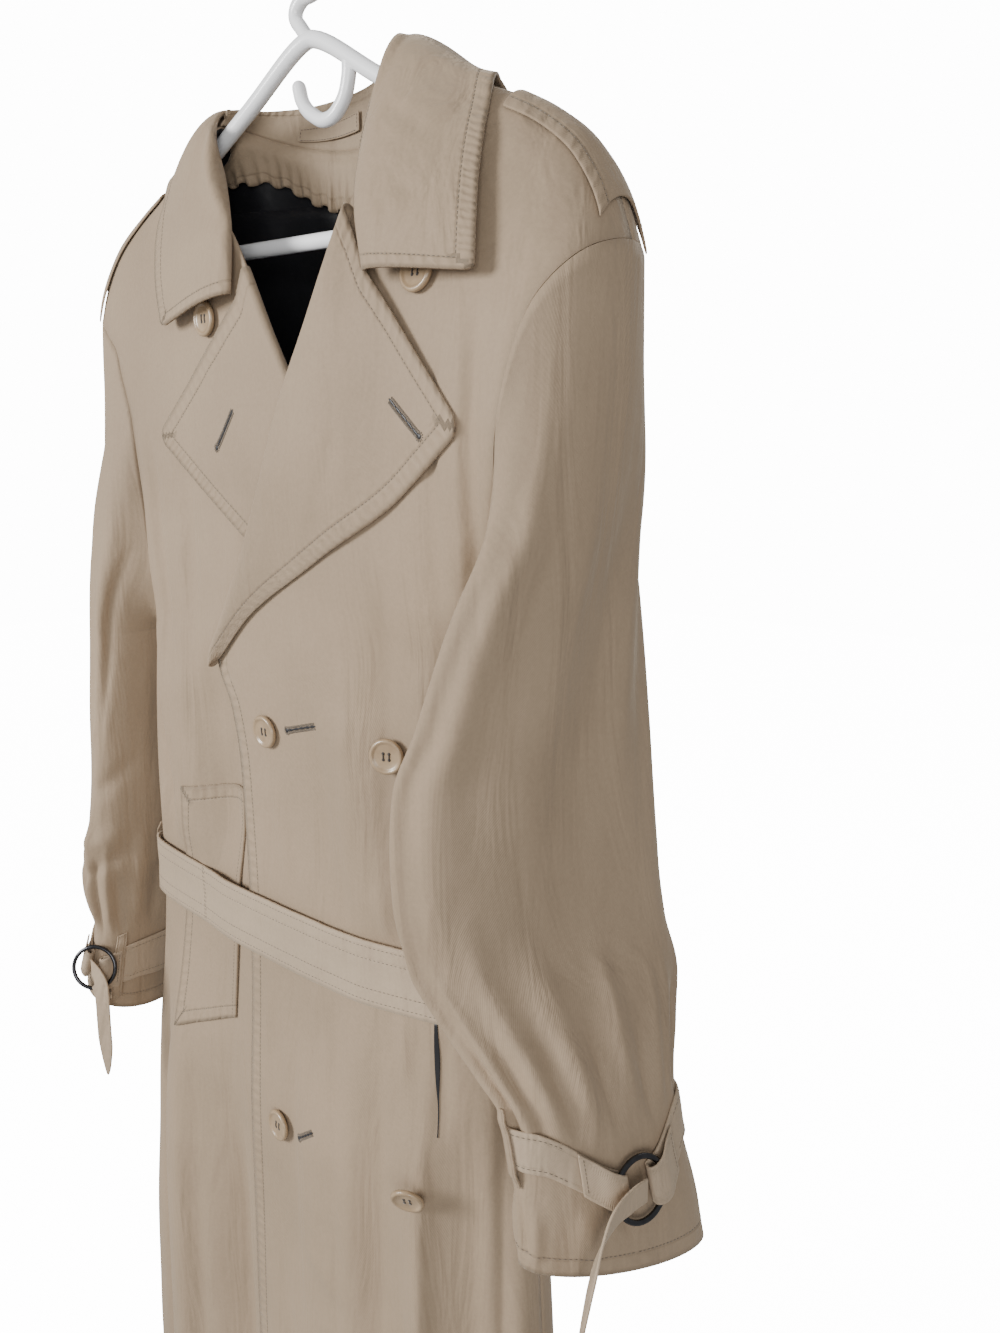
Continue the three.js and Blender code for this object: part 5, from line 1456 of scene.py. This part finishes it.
for side in ("left", "right"):
    place = epaulette_place(side)
    paths = [along(place, [(t, b) for t in ramp(20)]) for b in (0.14, 0.86)]
    sew(f"stitches_epaulette_{side}", [(f"epaulette_{side}", path) for path in paths])
    place = sleeve_place(side)
    hem = along(place, [(t, 1 - EDGE_SEAM / sleeve_drop(side)) for t in ramp(90)])
    sew(f"stitches_cuff_{side}", [(f"sleeve_{side}", hem)])
    ring = CUFF[side][0]
    strap = [[cuff_point(side, ring + mix(40, 320, t), rise, STRAP_OUT) for t in ramp(90)]
             for rise in (-9.6, 9.6)]
    sew(f"stitches_strap_{side}", [(f"cuff_strap_{side}", path) for path in strap])
    seams = [(f"strap_end_{name}_{side}",
              [cuff_point(side, ring + way * 30, rise, 5.6) for rise in (-10, 0, 10)])
             for name, way in (("fore", 1), ("aft", -1))]
    sew(f"stitches_strap_end_{side}", seams, pitch=2.4)

# %% [markdown]
# ## Buttonholes
# A keyhole buttonhole is a slit with a round end, bound with close brown stitches laid across
# its edge. A row of small stitches on each side makes it, with a fan round the eye. The dark of
# the open slit and the eye is painted shade: flat near-black pieces laid on the cloth.

# %% Buttonholes
# Piece, place of the eye, place of the other end.
HOLES = [("lapel_left", (141, -310), (121, -289)), ("lapel_right", (-62, -316), (-45, -293)),
         ("front_left", (2, -507), (27, -499)), ("front_left", (-4, -810), (20, -797))]
bound = bmesh.new()
slit_shade = bmesh.new()
for piece, eye, end in HOLES:
    eye_at, normal, _, _ = trees[piece].find_nearest(vec(eye[0], -80, eye[1]))
    end_at = trees[piece].find_nearest(vec(end[0], -80, end[1]))[0]
    way = (end_at - eye_at).normalized()
    across = normal.cross(way).normalized()
    length = (end_at - eye_at).length

    def lay(bm, point, direction, size, lift=0.2):
        spot, up, _, _ = trees[piece].find_nearest(point)
        side_way = up.cross(direction).normalized()
        basis = Matrix((side_way.cross(up), side_way, up)).transposed().to_4x4()
        matrix = Matrix.Scale(MM, 4) @ Matrix.Translation(spot + up * lift) @ basis
        matrix = matrix @ Matrix.Diagonal((*size, 1))
        bmesh.ops.create_icosphere(bm, subdivisions=2 if size[0] > 3 else 1, radius=0.5, matrix=matrix)

    for i in range(int(length / 0.75)):
        for edge_side in (-1, 1):
            lay(bound, eye_at + way * (1.6 + i * 0.75) + across * edge_side * 1.75, across, (2.0, 0.62, 0.7))
    for i in range(12):
        angle = 2 * pi * i / 12
        spoke = way * cos(angle) + across * sin(angle)
        lay(bound, eye_at + spoke * 2.5, spoke, (2.0, 0.9, 0.7))
    # Painted shade: flat near-black pieces in the slit and the eye stand in for the shade in the opening.
    for i in range(5):
        lay(slit_shade, eye_at + way * (1 + length * (i + 0.5) / 5), way, (length / 3.6, 1.7, 0.5), 0.3)
    lay(slit_shade, eye_at, way, (3.4, 3.2, 0.6), 0.25)
brown_thread = mottled(material("thread_brown", (0.15, 0.115, 0.082), 0.7, Sheen_Weight=0.3),
                       (0.12, 0.09, 0.062), (0.19, 0.148, 0.106), 900.0, 0.0001)
finish_object("buttonhole_edges", bound, [brown_thread])
finish_object("buttonhole_slit_shade", slit_shade, [satin_and_slit_shade])
print("buttonholes:", len(HOLES))

# %% [markdown]
# ## Hanger
# The hanger is a moulded tube: two arms and a bar in one loop, a hook on top and a small inner
# hook below it. A curve with a round bevel gives a smooth tube, and it is made a mesh.

# %% Hanger
HOOK_TUBE, HANGER_TUBE = 4.6, 5.25
APEX, BAR, ARM_END, FALL = -62, -184, 196, tan(radians(29.5))


def tube(name, points, radius, closed=False):
    curve = bpy.data.curves.new(name, "CURVE")
    curve.dimensions = "3D"
    curve.resolution_u = 10
    curve.bevel_depth = radius * MM
    curve.bevel_resolution = 6
    curve.use_fill_caps = True
    spline = curve.splines.new("BEZIER")
    spline.bezier_points.add(len(points) - 1)
    spline.use_cyclic_u = closed
    for point, (x, z) in zip(spline.bezier_points, points):
        point.co = (x * MM, 0, z * MM)
        point.handle_left_type = point.handle_right_type = "AUTO"
    holder = bpy.data.objects.new(name, curve)
    bpy.context.scene.collection.objects.link(holder)
    bpy.context.view_layer.update()
    mesh = bpy.data.meshes.new_from_object(holder.evaluated_get(bpy.context.evaluated_depsgraph_get()))
    bpy.data.objects.remove(holder)
    return mesh


arm_end = [(190, BAR + 14), (ARM_END + 1, BAR + 7), (190, BAR + 0.8), (182, BAR)]
arms = [(x, APEX - abs(x) * FALL) for x in (4, 60, 130, 180)] + arm_end
loop = arms + [(x, BAR) for x in (120, 0, -120)] + [(-x, z) for x, z in reversed(arms)]
hook = [(0, -64), (-7, -56), (-12, -48), (-7, -40.5), (5, -38), (17, -33), (23.6, -23), (22.8, -10),
        (14.5, 0), (0, HOOK_TUBE), (-14, 0.6), (-22.4, -9), (-23.4, -22)]
inner_hook = [(34, -79), (33, -92), (27, -105), (14, -112.5), (1, -108), (-8, -99), (-11, -90)]
bm = bmesh.new()
for name, points, radius, closed in (("frame", loop, HANGER_TUBE, True), ("hook", hook, HOOK_TUBE, False),
                                     ("inner", inner_hook, HOOK_TUBE, False)):
    part = tube(name, points, radius, closed)
    bm.from_mesh(part)
    bpy.data.meshes.remove(part)
for x, z in (hook[-1], inner_hook[-1]):
    bmesh.ops.create_uvsphere(bm, u_segments=20, v_segments=12, radius=(HOOK_TUBE - 0.05) * MM,
                              matrix=Matrix.Translation((x * MM, 0, z * MM)))
hanger = finish_object("hanger", bm, [plastic], ("hanger",))
print("hanger:", len(hanger.data.polygons), "faces")

# %% [markdown]
# ## Last update
# The view layer is updated once more, so every made piece has its final place.

# %% Update
bpy.context.view_layer.update()
